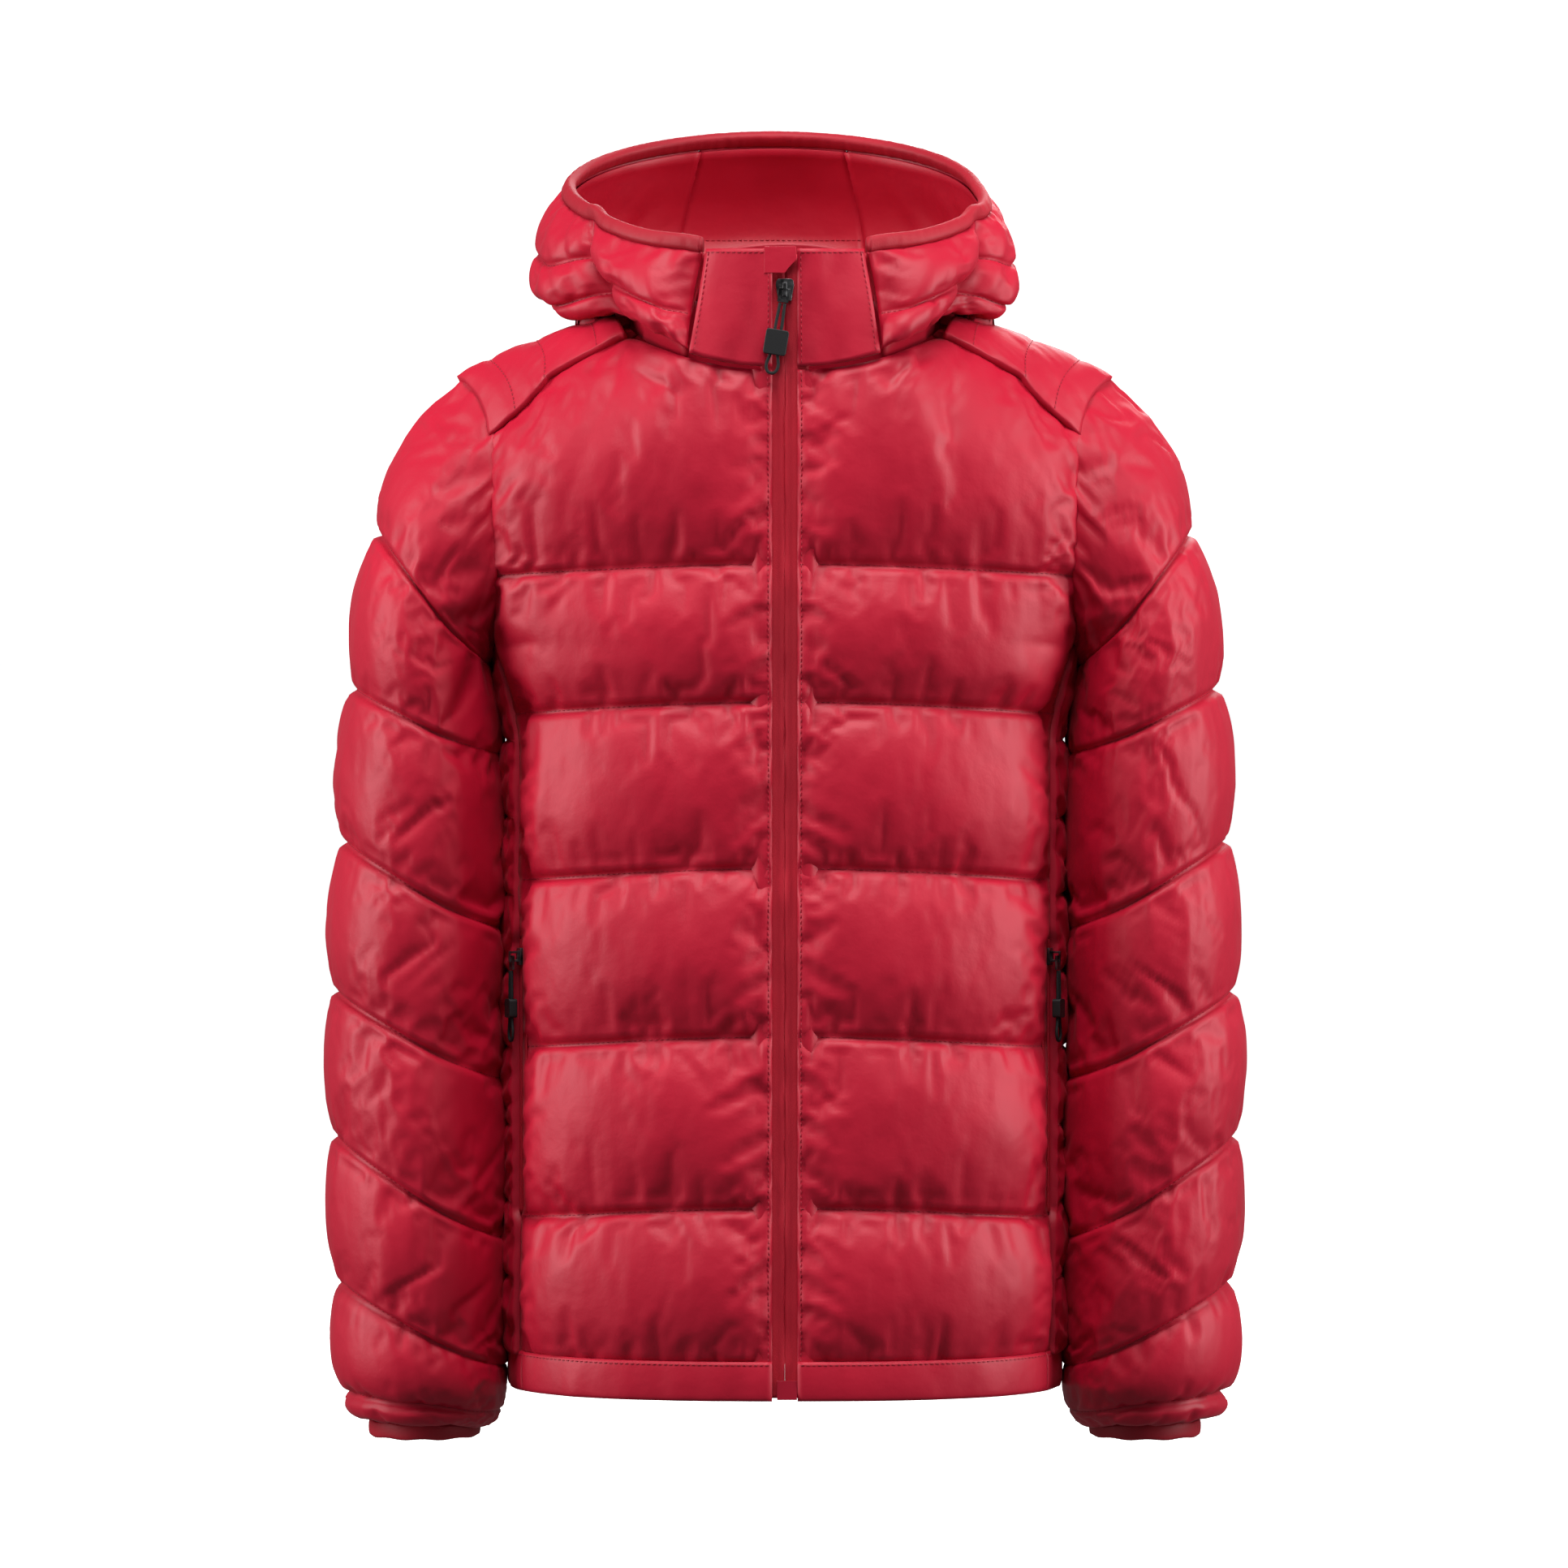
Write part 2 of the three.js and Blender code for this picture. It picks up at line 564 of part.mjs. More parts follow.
// Joins two strips that share a seam, for a lining that runs on across it.
const joinStrips = (a, b) => ({
  grid: a.grid.map((row, r) => [...row, ...b.grid[r].slice(1)]),
  normals: a.normals.map((row, r) => [...row, ...b.normals[r].slice(1)]),
});

// start is the depth of the piece's outer face, for each column.
function hoodSlab(strip, start, thickness, gap = seamGap) {
  const drawn = drawIn(strip.grid, gap);
  const outer = offsetGrid(drawn, strip.normals, (r, c) => start(c));
  const inner = offsetGrid(drawn, strip.normals, (r, c) => start(c) + thickness(c));
  return slab(outer, inner);
}
function hoodPiece(name, look, strip, start, thickness) {
  addMesh(name, look, hoodSlab(strip, start, thickness));
}
const atSurface = () => 0;

const hoodFill = 8;
const collarSteps = 6;
const liningRoom = 0.35; // least gap between the hood's side and its lining
for (const [name, sign] of sides) {
  const chin = (s) => sign * chinEdge(s);
  const crease = () => sign * creaseAngle;
  const centre = () => sign * hoodCentreAngle;
  const collarStrip = hoodStrip(chin, crease, collarSteps);
  const sideStrip = hoodStrip(crease, centre, 14);
  const collarFill = (column) => (column > collarSteps - 2 ? hoodFill - 3 : hoodFill);
  hoodPiece(`collar_side_${name}`, 'shell', collarStrip, atSurface, collarFill);
  const sideFill = (column) => hoodFill - Math.max(0, 5 - column);
  hoodPiece(`hood_side_${name}`, 'shell', sideStrip, atSurface, sideFill);
  const behind = (column) => hoodFill + hoodGap + (Math.abs(column - collarSteps - 1) < 4 ? 1 : 0);
  const lining = solid(hoodSlab(joinStrips(collarStrip, sideStrip), behind, () => liningThickness));
  const room = solid(hoodSlab(sideStrip, atSurface, (column) => sideFill(column) + liningRoom, 0));
  addMesh(`hood_lining_${name}`, 'lining', fromSolid(lining.subtract(room)));
}
const centreStrip = hoodStrip(() => hoodCentreAngle, () => 360 - hoodCentreAngle, 8);
hoodPiece('hood_centre', 'shell', centreStrip, atSurface, () => hoodFill);
hoodPiece('hood_lining_centre', 'lining', centreStrip, () => hoodFill + hoodGap, () => liningThickness);

// Chin panels stand straight up beside the zip.
function chinGrid(sign) {
  const rows = [0, 0.25, 0.5, 0.75, 1];
  const columns = [0, 0.22, 0.4, 0.6, 0.8, 1];
  return rows.map((s) => columns.map((t) => {
    const edgeLow = neckPoint(chinAngle);
    const lowX = mix(mainZip.edge, edgeLow.x, t);
    const low = onBody(lowX, neckFrontAt(lowX), -1).add(vec(0, 0, collarLift));
    const highX = mix(mainZip.edge, chinHalfWidth, t);
    const high = vec(highX, frontY(collarTopZ) + 12 * t * t, collarTopZ);
    const p = low.lerp(high, s);
    return vec(sign * p.x, p.y, p.z);
  }));
}
const chinThickness = 7;
for (const [name, sign] of sides) {
  const grid = chinGrid(sign);
  const normals = gridNormals(grid, (p) => vec(0, rimCentreY, p.z));
  const drawn = drawIn(grid, seamGap);
  const thick = besideZip(chinThickness);
  addMesh(`chin_panel_${name}`, 'shell', slab(drawn, offsetGrid(drawn, normals, (r, c) => thick(c))));
  const behind = chinThickness + layerGap;
  const cut = (rows) => rows.map((row) => row.slice(2));
  const liningIn = drawIn(cut(grid), 2 * seamGap);
  addMesh(`chin_lining_${name}`, 'lining', slab(
    offsetGrid(liningIn, cut(normals), behind),
    offsetGrid(liningIn, cut(normals), behind + liningThickness),
  ));
}

// Edge binding round the rim, from chin panel to chin panel over the hood.
const bindingStart = chinTopAngle + 2;
const bindingSteps = 44;
const bindingHeight = 9;
const bindingDrop = 0.9; // how far the binding comes down towards the shell's edge
{
  const grid = [0, 0.5, 1].map((t) => Array.from({ length: bindingSteps + 1 }, (_, i) => {
    const angle = mix(bindingStart, 360 - bindingStart, i / bindingSteps);
    const p = rimPoint(angle);
    const out = vec(Math.sin(rad(angle)), -Math.cos(rad(angle)), 0);
    return p.addScaledVector(out, -0.5).add(vec(0, 0, bindingHeight * t - bindingDrop));
  }));
  const normals = gridNormals(grid, hoodAxis);
  addMesh('hood_binding', 'binding', slab(grid, offsetGrid(grid, normals, bindingThickness)));
}

// ---- neck facing and hanger loop ----
const facingHalfAngle = 28;
const facingHeight = 17;
const facingDepth = 4; // the facing stands this far inside the neck seam
{
  const grid = [0, 0.5, 1].map((t) => spread(180 - facingHalfAngle, 180 + facingHalfAngle, 10).map((angle) => {
    const out = vec(Math.sin(rad(angle)), -Math.cos(rad(angle)), 0);
    return neckPoint(angle).addScaledVector(out, -facingDepth).add(vec(0, 0, facingHeight * t + 0.7 - collarLift));
  }));
  const normals = gridNormals(grid, (p) => vec(0, rimCentreY, p.z));
  addMesh('neck_facing', 'lining', slab(grid, offsetGrid(grid, normals, liningThickness)));
}

const loopHalfSpan = 26;
const loopWidth = 8;
const loopThickness = 1.2;
const loopReach = 8; // how far the loop stands off the lining
const loopSeatZ = -7; // where its ends are sewn to the back lining
const loopClear = 1.7;
{
  const seat = onBody(loopHalfSpan, loopSeatZ, 1);
  seat.addScaledVector(bodyNormal(seat), -(fill + layerGap + liningThickness));
  const line = [-1, -0.8, -0.6, -0.3, 0, 0.3, 0.6, 0.8, 1].map((t) => {
    const stand = loopReach * Math.sqrt(Math.max(0, 1 - t ** 4));
    return vec(t * loopHalfSpan, seat.y - loopClear - stand, seat.z * t ** 4);
  });
  const grid = [-0.5, 0.5].map((s) => line.map((p) => p.clone().add(vec(0, 0, loopWidth * s))));
  const inner = grid.map((row) => row.map((p) => p.clone().add(vec(0, -loopThickness, 0))));
  addMesh('hanger_loop', 'binding', slab(grid, inner));
}

// ---- sleeves ----
const ringSides = 16;
const ringAngles = Array.from({ length: ringSides }, (_, i) => (360 * i) / ringSides);

// The armhole seam as a ring: 0 degrees at the shoulder, 90 at the front, 180 in the armpit.
function armholeRing() {
  return ringAngles.map((angle) => {
    const centreZ = (shoulderZ + armpitZ) / 2;
    const z = centreZ + ((shoulderZ - armpitZ) / 2) * Math.cos(rad(angle));
    const x = armholeEdgeX(z);
    const side = angle <= 180 ? -1 : 1;
    return onBody(x, z, side).add(vec(sleeveClear, 0, 0));
  });
}
const sleeveClear = 0.5; // the sleeve head stands this far outside the armhole seam

function sleeveRing([outerX, outerZ, innerX, innerZ, centreY, depth]) {
  return ringAngles.map((angle) => {
    const c = Math.cos(rad(angle));
    const s = Math.sin(rad(angle));
    const share = (1 + c) / 2; // 1 at the outer edge, 0 at the inner edge
    return vec(mix(innerX, outerX, share), centreY - depth * s, mix(innerZ, outerZ, share));
  });
}

const keyRings = [armholeRing(), ...sleeveRings.map(sleeveRing)];
const cuffCentreY = sleeveRings[sleeveRings.length - 1][4];
const cuffRing = sleeveRing([cuffOuterX, cuffTopZ, cuffInnerX, cuffTopZ, cuffCentreY, cuffHalfDepth]);

// Rings through the key rings, four to a baffle, drawn in at each quilting seam.
const allRings = [...keyRings, cuffRing];
const sleeveLines = ringAngles.map((_, c) => (
  new THREE.CatmullRomCurve3(allRings.map((ring) => ring[c]), false, 'centripetal')
));
const stretches = keyRings.length;
const sleeveParams = Array.from({ length: stretches * 4 + 1 }, (_, i) => i / (stretches * 4));
const sleeveGrid = sleeveParams.map((t) => sleeveLines.map((line) => line.getPoint(t)));
const ringCentre = (ring) => ring.reduce((sum, p) => sum.add(p), vec(0, 0, 0)).divideScalar(ringSides);
const sleeveCentre = sleeveGrid.map(ringCentre);

function ringNormals(grid) {
  const count = grid.length;
  return grid.map((ring, r) => ring.map((p, c) => {
    const up = grid[Math.min(count - 1, r + 1)][c].clone().sub(grid[Math.max(0, r - 1)][c]);
    const along = ring[(c + 1) % ringSides].clone().sub(ring[(c + ringSides - 1) % ringSides]);
    const n = up.cross(along).normalize();
    return n.dot(p.clone().sub(sleeveCentre[r])) < 0 ? n.negate() : n;
  }));
}
const sleeveNormals = ringNormals(sleeveGrid);
// At the armhole the sleeve's edge is cut square to the seam, so that it stands clear of the body.
sleeveNormals[0] = sleeveGrid[0].map((p) => {
  const n = vec(0, p.y - sleeveCentre[0].y, p.z - sleeveCentre[0].z);
  return n.normalize();
});

const cuffInset = seamDepth - 0.3; // the binding lies against the sleeve's gathered end
const cuffOverlap = 1.2;
const mirrorX = (grid, sign) => grid.map((row) => row.map((p) => vec(sign * p.x, p.y, p.z)));
const sleeveInset = (r) => (r % 4 === 0 && r > 0 ? seamDepth : 0);
for (const [name, sign] of sides) {
  const drawn = drawIn(sleeveGrid, seamGap, true);
  const outer = offsetGrid(drawn, sleeveNormals, sleeveInset);
  const sleeveFill = (r) => (r === sleeveGrid.length - 1 ? seamDepth + 2.5 : fill);
  const inner = offsetGrid(drawn, sleeveNormals, sleeveFill);
  addMesh(`sleeve_${name}`, 'shell', slab(mirrorX(outer, sign), mirrorX(inner, sign), true));
  const thinned = (rows) => rows.slice(1, -2).filter((_, r) => r < 8 || r % 2 === 1);
  const liningRows = thinned(sleeveGrid);
  const liningNormals = thinned(sleeveNormals);
  addMesh(`sleeve_lining_${name}`, 'lining', slab(
    mirrorX(offsetGrid(liningRows, liningNormals, fill + layerGap), sign),
    mirrorX(offsetGrid(liningRows, liningNormals, fill + layerGap + liningThickness), sign),
    true,
  ));
  const cuffRows = [cuffTopZ + cuffOverlap, cuffBottomZ].map((z) => cuffRing.map((p) => vec(p.x, p.y, z)));
  const cuffMiddle = vec((cuffOuterX + cuffInnerX) / 2, cuffCentreY, 0);
  const cuffNormals = cuffRows.map((ring) => ring.map((p) => vec(p.x, p.y, 0).sub(cuffMiddle).normalize()));
  addMesh(`cuff_binding_${name}`, 'binding', slab(
    mirrorX(offsetGrid(cuffRows, cuffNormals, cuffInset), sign),
    mirrorX(offsetGrid(cuffRows, cuffNormals, cuffInset + bindingThickness), sign),
    true,
  ));
}

// ---- zips, built in a frame of their own: x across, y into the jacket, z up the zip ----
// The frame's origin is the middle of the closed slider, on the outer surface.
function zipStrip(x0, x1, depth, thick, z0, z1) {
  return boxAt((x0 + x1) / 2, depth + thick / 2, (z0 + z1) / 2, Math.abs(x1 - x0), thick, z1 - z0);
}

// One row of the coil, as the plain strip that its turns fill.
function coilStrip(sign, zip, z0, z1) {
  return zipStrip(sign * toothGap, sign * zip.coil, coilDepth, coilThickness, z0, z1);
}

const sliderFront = { depth: 1.1, thick: 1.9 }; // plate in front of the tape
const sliderBack = { depth: coilDepth + coilThickness + 0.4, thick: 1.3 };
const sliderWeb = 0.6; // the web between the plates runs in the gap between the coils
const archWidth = 2.2;
const arch = { top: -5.2, foot: 1.2, share: 0.62 }; // the arch stands on the front plate
const archEye = { top: -4.3, foot: -0.1, share: 0.36 };

function sliderBody(zip) {
  const w = zip.sliderWidth / 2;
  const l = zip.sliderLength / 2;
  const outline = new THREE.Shape();
  outline.moveTo(-w * 0.72, -l);
  outline.lineTo(w * 0.72, -l);
  outline.lineTo(w, l * 0.4);
  outline.quadraticCurveTo(w, l, w * 0.6, l);
  outline.lineTo(-w * 0.6, l);
  outline.quadraticCurveTo(-w, l, -w, l * 0.4);
  outline.closePath();
  const plate = ({ depth, thick }) => solid(new THREE.ExtrudeGeometry(outline, {
    depth: thick,
    bevelEnabled: false,
    curveSegments: 4,
  }).rotateX(Math.PI / 2).translate(0, depth + thick, 0));
  const webDepth = (sliderFront.depth + sliderBack.depth + 1) / 2;
  const webThick = sliderBack.depth - sliderFront.depth + 0.6;
  const web = solid(boxAt(0, webDepth, l * 0.3, sliderWeb, webThick, l * 0.9));
  const block = ({ top, foot, share }, width) => solid(
    boxAt(0, (top + foot) / 2, 0, width, foot - top, zip.sliderLength * share),
  );
  const bow = block(arch, archWidth).subtract(block(archEye, 2 * archWidth));
  return fromSolid(plate(sliderFront).add(plate(sliderBack)).add(web).add(bow));
}
const archPivotY = -3.4; // the pull's bar turns here, in front of the slider plate
const barRadius = 0.7;

// Pull tab: a bar through the slider's arch and a plate below it with an eye for the cord.
function pullTab(width, length) {
  const bar = new THREE.CylinderGeometry(barRadius, barRadius, width, 12)
    .rotateZ(Math.PI / 2)
    .translate(0, archPivotY, 0);
  const legX = width / 2 - 0.8;
  const leg = (x) => boxAt(x, archPivotY, -length / 2, 1.6, 1.4, length);
  const cross = boxAt(0, archPivotY, -length + 0.8, width, 1.4, 1.6);
  const whole = solid(bar).add(solid(leg(legX))).add(solid(leg(-legX))).add(solid(cross));
  return fromSolid(whole);
}

// Both strands and the end loop of a pull cord, chosen by hand: x across, z below the pivot.
const cordRoute = [
  [1.5, -9], [1.7, -15], [2, -22], [2, -32], [2.1, -40], [2.8, -44], [3.7, -47.5],
  [3.4, -51], [1.6, -53.4], [-1.6, -53.4], [-3.4, -51], [-3.7, -47.5], [-2.8, -44], [-2.1, -40],
  [-2, -32], [-2, -22], [-1.7, -15], [-1.5, -9],
];

function pullCord(y) {
  const curve = new THREE.CatmullRomCurve3(cordRoute.map(([x, z]) => vec(x, y, z)), false, 'centripetal');
  const sides8 = 8;
  const section = new THREE.Shape(Array.from({ length: sides8 }, (_, i) => {
    const turn = (2 * Math.PI * i) / sides8;
    return new THREE.Vector2((cordDiameter / 2) * Math.cos(turn), (cordDiameter / 2) * Math.sin(turn));
  }));
  return new THREE.ExtrudeGeometry(section, { steps: 30, bevelEnabled: false, extrudePath: curve });
}

const gripSlot = { width: 6.8, depth: 2.7 };
function pullGrip(y, width, height, thick, z) {
  const outline = new THREE.Shape();
  const w = width / 2;
  const h = height / 2;
  const r = 2;
  outline.moveTo(-w + r, -h);
  outline.lineTo(w - r, -h);
  outline.quadraticCurveTo(w, -h, w, -h + r);
  outline.lineTo(w, h - r);
  outline.quadraticCurveTo(w, h, w - r, h);
  outline.lineTo(-w + r, h);
  outline.quadraticCurveTo(-w, h, -w, h - r);
  outline.lineTo(-w, -h + r);
  outline.quadraticCurveTo(-w, -h, -w + r, -h);
  const block = new THREE.ExtrudeGeometry(outline, { depth: thick, bevelEnabled: false, curveSegments: 3 })
    .rotateX(Math.PI / 2).translate(0, y + thick / 2, z);
  return fromSolid(solid(block).subtract(solid(boxAt(0, y, z, gripSlot.width, gripSlot.depth, height + 4))));
}

// One slider with its pull, hanging from the zip's frame and leaning by a few degrees.
function sliderAssembly(names, zip, place, lean, gripSize) {
  const frame = new THREE.Group();
  frame.matrixAutoUpdate = false;
  frame.matrix.copy(place);
  addMesh(names.slider, 'metal', sliderBody(zip), frame);
  const pull = new THREE.Group();
  pull.rotation.y = lean;
  frame.add(pull);
  addMesh(names.tab, 'metal', pullTab(7, 8.4), pull);
  const cordY = archPivotY - 0.5;
  addMesh(names.cord, 'cord', pullCord(cordY), pull);
  addMesh(names.grip, 'grip', pullGrip(cordY, gripSize.width, gripSize.height, gripSize.thick, gripSize.z), pull);
  jacket.add(frame);
}

function placed(name, look, geometry, place) {
  addMesh(name, look, geometry.applyMatrix4(place));
}

// Front zip: tapes and coils from the hem to the garage, with the pin and box at the bottom.
const mainBottom = -(zipTopZ - hemBottomZ) / mainUp.z;
const mainTop = 16;
const boxHeight = 12;
for (const [name, sign] of sides) {
  const inner = sign * toothGap;
  const outer = sign * mainZip.tapeOuter;
  const tape = zipStrip(inner, outer, tapeDepth, tapeThickness, mainBottom + 2, mainTop + 4);
  placed(`zip_tape_${name}`, 'tape', tape, mainPlace);
  const coil = coilStrip(sign, mainZip, mainBottom + boxHeight + 5, mainTop - 2);
  placed(`zip_coil_${name}`, 'coil', coil, mainPlace);
}
const boxMiddle = mainBottom + boxHeight / 2 + 1;
const pinX = -2;
const tapeSlotDepth = tapeDepth + tapeThickness / 2;
// Slot through the box for one tape, from x0 to x1.
const tapeSlot = (x0, x1) => solid(
  boxAt((x0 + x1) / 2, tapeSlotDepth, boxMiddle, x1 - x0, tapeThickness + 0.6, boxHeight + 4),
);
const boxBlock = solid(boxAt(1.4, 4.2, boxMiddle, 12.6, 7.2, boxHeight));
const pinHole = solid(boxAt(pinX, 3.9, boxMiddle + 4, 2.6, 3.2, boxHeight));
const retainer = boxBlock.subtract(pinHole).subtract(tapeSlot(0, 10)).subtract(tapeSlot(-13.5, -0.5));
placed('zip_retainer_box', 'coil', fromSolid(retainer), mainPlace);
const pinLength = 11;
const pin = boxAt(pinX, tapeDepth + tapeThickness + 0.7, mainBottom + 10.9, 1.9, 0.7, pinLength);
placed('zip_insertion_pin', 'coil', pin, mainPlace);

// Garage: a small fold on the right chin panel's top corner that the slider parks under.
{
  const outline = new THREE.Shape();
  outline.moveTo(-13, 27.2);
  outline.lineTo(7, 27.2);
  outline.lineTo(7.6, 19);
  outline.quadraticCurveTo(3, 15, 0, 10.4);
  outline.lineTo(-13, 10.4);
  outline.closePath();
  const fold = new THREE.ExtrudeGeometry(outline, { depth: 0.9, bevelEnabled: false, curveSegments: 5 })
    .rotateX(Math.PI / 2).translate(0, -0.35, 0);
  placed('zip_garage', 'shell', fold, mainPlace);
}

sliderAssembly(
  { slider: 'front_slider', tab: 'front_pull_tab', cord: 'front_pull_cord', grip: 'front_pull_grip' },
  mainZip, mainPlace, rad(9.4), { width: 14.5, height: 16, thick: 6, z: -34 },
);

// Pocket zips on the side seams.
for (const [name, sign] of sides) {
  const place = pocketPlace(sign);
  const bottom = -pocketZip.length;
  const half = pocketZip.tapeOuter;
  const whole = solid(zipStrip(-half, half, tapeDepth, tapeThickness, bottom - 4, 12));
  const middle = solid(zipStrip(-toothGap, toothGap, tapeDepth - 1, tapeThickness + 2, bottom + 2, 8));
  const frame = whole.subtract(middle);
  placed(`pocket_tape_${name}`, 'tape', fromSolid(frame), place);
  const row = (s) => solid(coilStrip(s, pocketZip, bottom + 4, 7));
  const wide = pocketZip.coil;
  const stop = solid(zipStrip(-wide, wide, coilDepth, coilThickness, bottom + 1.5, bottom + 4.4));
  placed(`pocket_coil_${name}`, 'coil', fromSolid(row(1).add(row(-1)).add(stop)), place);
  sliderAssembly(
    {
      slider: `pocket_slider_${name}`,
      tab: `pocket_pull_tab_${name}`,
      cord: `pocket_pull_cord_${name}`,
      grip: `pocket_pull_grip_${name}`,
    },
    pocketZip, place, 0, { width: 10, height: 12, thick: 5.4, z: -33 },
  );
}

export default jacket;
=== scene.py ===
import json
import bpy
import bmesh
import numpy as np
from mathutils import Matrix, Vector

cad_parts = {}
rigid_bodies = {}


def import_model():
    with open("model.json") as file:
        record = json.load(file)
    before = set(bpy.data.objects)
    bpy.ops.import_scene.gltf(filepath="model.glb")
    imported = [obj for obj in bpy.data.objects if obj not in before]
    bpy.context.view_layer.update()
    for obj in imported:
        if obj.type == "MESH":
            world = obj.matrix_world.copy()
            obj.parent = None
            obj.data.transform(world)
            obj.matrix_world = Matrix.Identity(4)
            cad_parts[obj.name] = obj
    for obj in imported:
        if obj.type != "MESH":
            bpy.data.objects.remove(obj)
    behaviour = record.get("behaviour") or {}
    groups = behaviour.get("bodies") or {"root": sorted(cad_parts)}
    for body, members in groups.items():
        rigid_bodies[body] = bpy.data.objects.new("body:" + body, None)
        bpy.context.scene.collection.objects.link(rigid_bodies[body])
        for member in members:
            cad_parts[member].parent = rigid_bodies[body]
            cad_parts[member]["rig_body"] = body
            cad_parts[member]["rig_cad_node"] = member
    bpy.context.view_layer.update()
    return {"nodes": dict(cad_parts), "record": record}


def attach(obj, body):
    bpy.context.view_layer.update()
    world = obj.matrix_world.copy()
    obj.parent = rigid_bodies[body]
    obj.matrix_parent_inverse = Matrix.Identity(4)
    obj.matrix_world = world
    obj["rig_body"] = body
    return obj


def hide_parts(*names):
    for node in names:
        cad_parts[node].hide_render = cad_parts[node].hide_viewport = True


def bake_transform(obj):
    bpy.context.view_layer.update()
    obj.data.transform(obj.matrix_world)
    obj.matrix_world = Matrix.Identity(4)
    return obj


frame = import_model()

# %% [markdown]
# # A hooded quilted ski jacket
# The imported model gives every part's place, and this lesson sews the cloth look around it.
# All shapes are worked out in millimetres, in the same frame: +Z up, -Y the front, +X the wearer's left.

MM = 0.001
sides = (("left", 1), ("right", -1))
link = bpy.context.scene.collection.objects.link
print("parts in the frame:", len(frame["nodes"]))

# %% [markdown]
# ## Camera
# A long lens from the front, a little above the middle, shows the jacket nearly without perspective.

# %% Camera
target = Vector((-0.0005, -0.09, -0.331))
distance = 6.0
height = np.radians(2)
camera_data = bpy.data.cameras.new("camera")
sensor, view_width = 36, 1.0046
camera_data.sensor_width = sensor
camera_data.lens = sensor * distance / view_width
camera_data.clip_end = 50
camera = bpy.data.objects.new("camera", camera_data)
link(camera)
bpy.context.scene.view_settings.view_transform = "Standard"
camera.location = target + Vector((0, -distance * np.cos(height), distance * np.sin(height)))
camera.rotation_euler = (target - camera.location).to_track_quat("-Z", "Y").to_euler()
bpy.context.scene.camera = camera

# %% [markdown]
# ## Zip frames and pull cords
# Each pull is one 2 mm cord, threaded through the grip, looped at its end and tied back to the tab.
# Every zip has a frame of its own: x across, y into the jacket, z up the zip.

# %% Zip frames and cords
FRONT = (np.array([[1, 0, 0], [0, 0.99849, -0.05492], [0, 0.05492, 0.99849]]), np.array([0, -169.43, -16]))
POCKET = {
    s: (
        np.array([[0.35539, 0.93404 * s, -0.03563 * s], [-0.93472 * s, 0.35514, -0.01355], [0, 0.03812, 0.99927]]),
        np.array([171.0 * s, -120.04, -440.0]),
    )
    for s in (1, -1)
}
PULL_LEAN = np.radians(9.4)


def place(points, zip_frame, lean=0.0):
    """Points in a zip's frame, leaning by an angle, as millimetres in the jacket's frame."""
    p = np.asarray(points, float)
    x = p[..., 0] * np.cos(lean) + p[..., 2] * np.sin(lean)
    z = -p[..., 0] * np.sin(lean) + p[..., 2] * np.cos(lean)
    turned = np.stack([x, p[..., 1], z], -1)
    return turned @ zip_frame[0] + zip_frame[1]


def through(points, steps):
    """A smooth line through the points."""
    p = np.asarray(points, float)
    p = np.vstack([2 * p[0] - p[1], p, 2 * p[-1] - p[-2]])
    out = []
    for i in range(1, len(p) - 2):
        for t in np.arange(steps) / steps:
            a, b, c, d = p[i - 1 : i + 3]
            square, cube = 2 * a - 5 * b + 4 * c - d, 3 * b - a - 3 * c + d
            out.append(0.5 * (2 * b + (c - a) * t + square * t**2 + cube * t**3))
    return np.array(out + [p[-2]])


half_route = [(1.5, -9), (1.7, -15), (2, -22), (2, -32), (2.1, -40), (2.8, -44), (3.7, -47.5), (3.4, -51), (1.6, -53.4)]
route = [(x, -3.9, z) for x, z in half_route] + [(-x, -3.9, z) for x, z in half_route[::-1]]


def make_cord(name, zip_frame, lean):
    line = place(through(route, 6), zip_frame, lean) * MM
    curve = bpy.data.curves.new(name, "CURVE")
    curve.dimensions = "3D"
    curve.bevel_depth = 0.001
    curve.bevel_resolution = 3
    curve.use_fill_caps = True
    spline = curve.splines.new("POLY")
    spline.points.add(len(line) - 1)
    for point, at in zip(spline.points, line):
        point.co = (*at, 1)
    swept = bpy.data.objects.new(name + "_line", curve)
    link(swept)
    tube = bpy.data.meshes.new_from_object(swept.evaluated_get(bpy.context.evaluated_depsgraph_get()))
    bpy.data.objects.remove(swept)
    cord = bpy.data.objects.new(name, tube)
    link(cord)
    length = float(np.linalg.norm(np.diff(line, axis=0), axis=1).sum())
    return cord, line, length


cords = {}
for key, zip_frame, lean, body in [("front", FRONT, PULL_LEAN, "front_zip_pull")] + [
    (f"pocket_{n}", POCKET[s], 0.0, f"pocket_zip_pull_{n}") for n, s in sides
]:
    node = "front_pull_cord" if key == "front" else f"pocket_pull_cord_{key[7:]}"
    cord, line, length = make_cord(node + "_braid", zip_frame, lean)
    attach(cord, body)
    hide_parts(node)
    cords[key] = (cord, line, length)
    print(node, "cord length", round(length * 1000, 1), "mm")

# %% [markdown]
# ## The surface of a filled-out jacket
# The body is one smooth section, and the panels are cut out of it along their seams.
# So neighbouring panels meet by themselves, as they do when sewn.

# %% Surface formulas
NECK_HALF, CHEST_HALF, ARMHOLE_TOP = 108, 187, -69


def mix(a, b, t):
    return a + (b - a) * t


def smooth(a, b, x):
    t = np.clip((x - a) / (b - a), 0, 1)
    return t * t * (3 - 2 * t)


def front_y(z):
    return -168 + 0.055 * (z - 10)


def back_y(z):
    return 46 - 30 * np.exp(np.minimum(z, 0) / 70)


def middle_y(z):
    return (front_y(z) + back_y(z)) / 2


def half_depth(z):
    return (back_y(z) - front_y(z)) / 2


